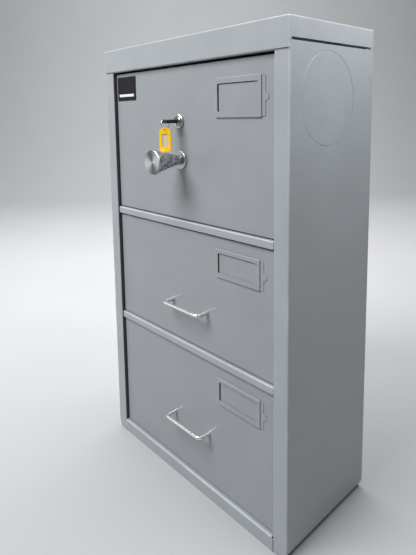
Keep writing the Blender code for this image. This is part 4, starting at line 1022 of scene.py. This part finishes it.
def knob_shape():
    """Dish, rim, flare and neck. The dish falls by the square of the distance from its rim, and
    the flare narrows along a shallow curve to the neck."""
    low, high = limits("knob")
    face, neck = low[1], high[1]
    wide, narrow, rim = (high[0] - low[0]) / 2, 10.5 * MM, 2.2 * MM
    dish_r = np.linspace(0, wide - rim, 14)
    dish = np.stack([face + 1.1 * MM * (1 - (dish_r / dish_r[-1]) ** 2), dish_r], -1)
    lip = np.array([[face + 0.25 * MM, wide - 0.65 * rim], [face + 0.8 * MM, wide - 0.3 * rim],
                    [face + 1.5 * MM, wide - 0.08 * rim], [face + 2.2 * MM, wide],
                    [face + 4.0 * MM, wide - 0.2 * MM]])
    share = np.linspace(0, 1, 12)[1:]
    flare_y = face + 4.0 * MM + share * (neck - 12 * MM - face - 4.0 * MM)
    flare_r = wide + (narrow + 1.2 * MM - wide) * share - 0.8 * MM * np.sin(np.pi * share)
    flare = np.stack([flare_y, flare_r], -1)
    bore, bore_end = 6.3 * MM, neck - 19 * MM
    tail = np.array([[neck - 1.0 * MM, narrow], [neck, narrow - 0.6 * MM], [neck, bore],
                     [bore_end, bore], [bore_end, 0]])
    return turned(np.concatenate([dish, lip, flare, tail]), middle("knob")), face


knob, knob_face = knob_shape()
piece("pull_knob", knob, cast_metal, "turning_knob", ["knob"],
      second=(spun_face, lambda c: c[:, 1] < knob_face + 2.1 * MM))

# %% [markdown]
# ## Key, split ring and tag
# The key's flat black head has an eye near its tip. Its surface is a stack of rounded loops that
# run over the top, down through the eye and back underneath. The split ring is a helix of two
# turns. The tag is a plate that narrows to round shoulders: each row's width follows the
# outline, and the holes and the window are cut in the flat blank.

# %% Key head
def rounded_loop(centre, half, radius, steps=8):
    """Points round a rectangle with rounded corners, anticlockwise."""
    angle = np.radians(np.arange(4)[:, None] * 90 + np.linspace(0, 90, steps + 1))
    signs = np.array([[1, 1], [-1, 1], [-1, -1], [1, -1]])[:, None]
    arcs = radius * np.stack([np.cos(angle), np.sin(angle)], -1)
    return (centre + signs * (np.array(half) - radius) + arcs).reshape(-1, 2)


def key_head():
    """Loops from the outer edge over the top, into the eye and back, joined first to last."""
    low, high = limits("key_bow")
    centre, half = (low + high)[:2] / 2, (high - low)[:2] / 2
    eye_half = np.array([6.2, 4.8]) * MM
    eye = np.array([centre[0], low[1] + 4.6 * MM + eye_half[1]])
    thick, top = (high[2] - low[2]) / 2, (low[2] + high[2]) / 2
    round_out, round_eye = 1.5 * MM, 0.9 * MM

    def edge(radius, swing):
        """Pairs of how far in and how high the points of a rounded edge lie."""
        return zip(radius * (1 - np.cos(swing)), thick - radius + radius * np.sin(swing))

    upper = [(rounded_loop(centre, half - inset, 5.5 * MM - inset), z)
             for inset, z in edge(round_out, QUARTER)]
    upper += [(rounded_loop(eye, eye_half + inset, 1.6 * MM + inset), z)
              for inset, z in edge(round_eye, QUARTER[::-1])]
    under = [(loop, -z) for loop, z in upper[::-1]]
    rows = [np.column_stack([loop, np.full(len(loop), top + z)])
            for loop, z in upper + under + upper[:1]]
    return outward(grid(np.stack(rows), wrap=True))


piece("key_head", key_head(), black_nylon, "lock_core", ["key_bow"], sharp=60)

# %% Split ring and tag
ring_low, ring_high = limits("key_ring")
ring_centre = (ring_low + ring_high) / 2
RING_WIRE = 0.5 * MM
ring_radius = (ring_high[2] - ring_low[2]) / 2 - RING_WIRE
turns = np.linspace(0, 4 * np.pi, 145)
helix = ring_centre + np.stack([0.55 * MM * (turns / (2 * np.pi) - 1), ring_radius * np.cos(turns),
                                ring_radius * np.sin(turns)], -1)
piece("split_ring", carried(helix, RING_WIRE, (1, 0, 0), 10), ring_wire, "hanging_tag", ["key_ring"],
      sharp=60)

TAG_WIDTH, TAG_THICK = 25 * MM, 3 * MM
SHOULDER, FOOT = 10.5 * MM, 6 * MM
TAG_TURN = math.radians(32)
CARD = (14 * MM, 29 * MM, 8 * MM)      # width, height, and how far up it starts
tag_low, tag_high = limits("key_tag")[0][2], limits("key_tag")[1][2]


def turned_about_ring(shape):
    """Turns a plate in the xz plane about the vertical line through the ring."""
    x, y, z = shape.points.T
    cos, sin = math.cos(TAG_TURN), math.sin(TAG_TURN)
    spots = np.stack([ring_centre[0] + x * cos - y * sin, ring_centre[1] + x * sin + y * cos, z], -1)
    return Shape(spots, shape.faces, shape.uv)


def come_in(radius, past):
    """How far a quarter circle has come in, that far past where it starts."""
    return radius - np.sqrt(radius ** 2 - past ** 2)


def tag_shape():
    """A plate of columns at fixed shares of its width. The half width is full in the middle and
    falls along a quarter circle to each end."""
    top_hole = Hole(0, tag_high - 5.2 * MM, 2.6 * MM, 2.6 * MM, 2.6 * MM, 1.2 * MM)
    low_hole = Hole(0, tag_low + 2.8 * MM, 1.1 * MM, 1.1 * MM, 1.1 * MM, 1.0 * MM)
    window = Hole(0, tag_low + CARD[2] + CARD[1] / 2, CARD[0] / 2, CARD[1] / 2, 1.2 * MM, 0.9 * MM)
    holes = [top_hole, low_hole, window]
    us = stops(-TAG_WIDTH / 2, TAG_WIDTH / 2, 3 * MM, holes, 0)
    arc = np.sin(np.radians(np.linspace(0, 90, 13)))
    marks = np.concatenate([tag_high - SHOULDER * (1 - arc), tag_low + FOOT * (1 - arc)])
    vs = stops(tag_low, tag_high, 4 * MM, holes, 1, marks)
    plate = flat(us, vs, holes)
    u, v = plate.points[:, 0], plate.points[:, 1]
    over = np.clip(v - (tag_high - SHOULDER), 0, SHOULDER)
    under = np.clip(tag_low + FOOT - v, 0, FOOT)
    half = TAG_WIDTH / 2 - come_in(SHOULDER, over) - come_in(FOOT, under)
    near_hole = np.minimum(np.hypot(u, v - top_hole.v) / (4.4 * MM),
                           np.hypot(u, v - low_hole.v) / (2.6 * MM))
    follow = np.clip(near_hole, 0, 1) ** 2      # keeps the holes round
    x = u * (1 + follow * (half / (TAG_WIDTH / 2) - 1))
    return turned_about_ring(Shape(np.stack([x, 0 * x, v], -1), plate.faces, plate.uv))


def tag_sheet(width, height, low, y, bow=0.0):
    """A thin rectangle in the tag's plane, with a slight bow over its height."""
    x, z = np.meshgrid(np.linspace(-width / 2, width / 2, 8), np.linspace(low, low + height, 12))
    share = (z - low) / height
    return turned_about_ring(grid(np.stack([x, y + bow * np.sin(np.pi * share), z], -1)))


piece("yellow_tag", tag_shape(), yellow_plastic, "hanging_tag", ["key_tag"], thick=TAG_THICK,
      offset=0, deburr=0.55 * MM)
card_low = tag_low + CARD[2]
card = tag_sheet(CARD[0] - 0.2 * MM, CARD[1] - 0.2 * MM, card_low + 0.1 * MM, 0.2 * MM, 0.15 * MM)
piece("beige_card", card, beige_card, "hanging_tag", ["tag_card"], thick=0.5 * MM, offset=0)
for name, y in (("front", -0.95), ("rear", 0.95)):
    piece(f"{name}_clear_film", tag_sheet(CARD[0], CARD[1], card_low, y * MM), clear_film, "hanging_tag",
          thick=0.3 * MM, offset=0)

# %% [markdown]
# ## Finishes for the working parts
# The trays, runners, bolts and screws keep the shapes that the working model gave them, because
# those are already right. They only change their plain colour for a real finish.

# %% Finish the carried-over parts
KEPT = {
    inside_grey_and_gap_shade: ["dividing_plate", *[f"{d}_tray" for d in ("top", "middle", "bottom")]],
    zinc: ["bolt_cam", "knob_spindle", "lock_nut", "lock_tongue", "key_blade"],
}
for hand in ("left", "right"):
    KEPT[zinc] += [f"{part}_{hand}" for part in ("strike_plate", "bolt_guide", "lock_bolt")]
    for drawer in ("top", "middle", "bottom"):
        KEPT[zinc] += [f"{drawer}_fixed_runner_{hand}", f"{drawer}_drawer_runner_{hand}"]
        if drawer != "top":
            KEPT[zinc].append(f"{drawer}_pull_screw_{hand}")
for finish, nodes in KEPT.items():
    for node in nodes:
        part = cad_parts[node]
        for place in part.material_slots:
            place.material = finish
    print(finish.name, "on", len(nodes), "parts")
finished = sum(KEPT.values(), [])
plain = [node for node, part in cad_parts.items() if not part.hide_render and node not in finished]
print("parts left without a finish:", plain)

# %% [markdown]
# ## Floor and light
# A pale floor runs out in front and sweeps up behind into a wall, so there is no line where the
# two meet. A large soft light stands in front and to the left. A second hangs over the right
# side, close to its top, so that the side fades downwards. A dim card on the left is there to
# be mirrored in the bright metal, and the last light is for the sweep alone.

# %% Floor and light
heading = math.radians(CAMERA_TURN[2])
AHEAD = Vector((-math.sin(heading), math.cos(heading), 0))
SWEEP_AT, SWEEP_RADIUS, WIDE = 3.5, 2.5, 14.0


def studio_floor():
    """A profile of flat floor, quarter curve and wall, carried across the line of sight."""
    turn = np.radians(np.linspace(0, 90, 25))
    along = np.concatenate([[-14, -4, 0], SWEEP_AT + SWEEP_RADIUS * np.sin(turn), [SWEEP_AT + SWEEP_RADIUS]])
    up = np.concatenate([[0, 0, 0], SWEEP_RADIUS * (1 - np.cos(turn)), [8]])
    across = np.linspace(-WIDE, WIDE, 5)[None, :, None]
    ahead = np.array(AHEAD)
    rightward = np.array([ahead[1], -ahead[0], 0])
    rows = along[:, None, None] * ahead + up[:, None, None] * (0, 0, 1) + across * rightward
    data = bpy.data.meshes.new("floor")
    points, faces, _ = weld(grid(rows))
    data.from_pydata(points.tolist(), [], faces)
    data.shade_smooth()
    made = bpy.data.objects.new("floor", data)
    bpy.context.scene.collection.objects.link(made)
    finish, tree, shader, where = new_finish("matt_pale_floor", Roughness=0.85)
    feed(shader, Base_Color=mixed(tree, noise(tree, where["Object"], 0.5, 3.0), "#a6a7a9", "#acadaf"))
    data.materials.append(finish)


def softbox(name, place, aim, size, watts, spread=180):
    """A square area light at a place that looks at aim. spread is its beam in degrees."""
    light = bpy.data.lights.new(name, "AREA")
    light.size, light.energy, light.spread = size, watts, math.radians(spread)
    made = bpy.data.objects.new(name, light)
    made.location = place
    made.rotation_euler = (Vector(aim) - Vector(place)).to_track_quat("-Z", "Y").to_euler()
    made.visible_camera = False
    bpy.context.scene.collection.objects.link(made)


studio_floor()
softbox("key_light", (-0.4, -2.0, 2.9), (0.0, 0.0, 0.75), 1.5, 118)
softbox("side_light", (0.65, 0.05, 1.35), (0.27, 0.0, 0.85), 0.4, 4.3, 150)
softbox("left_card", (-2.2, -1.4, 0.9), (0.0, 0.0, 0.6), 2.4, 10)
softbox("sweep_light", 1.2 * AHEAD + Vector((0, 0, 3.2)), 4.2 * AHEAD + Vector((0, 0, 1.0)), 3.0, 240)
world = bpy.data.worlds.new("studio")
world.use_nodes = True
world.node_tree.nodes.clear()
sky = add(world.node_tree, "ShaderNodeBackground", {"Color": linear("#f4f5f7"), "Strength": 0.22})
add(world.node_tree, "ShaderNodeOutputWorld", {"Surface": sky.outputs[0]})
bpy.context.scene.world = world
bpy.context.scene.view_settings.view_transform = "Standard"
print("floor and four soft lights")
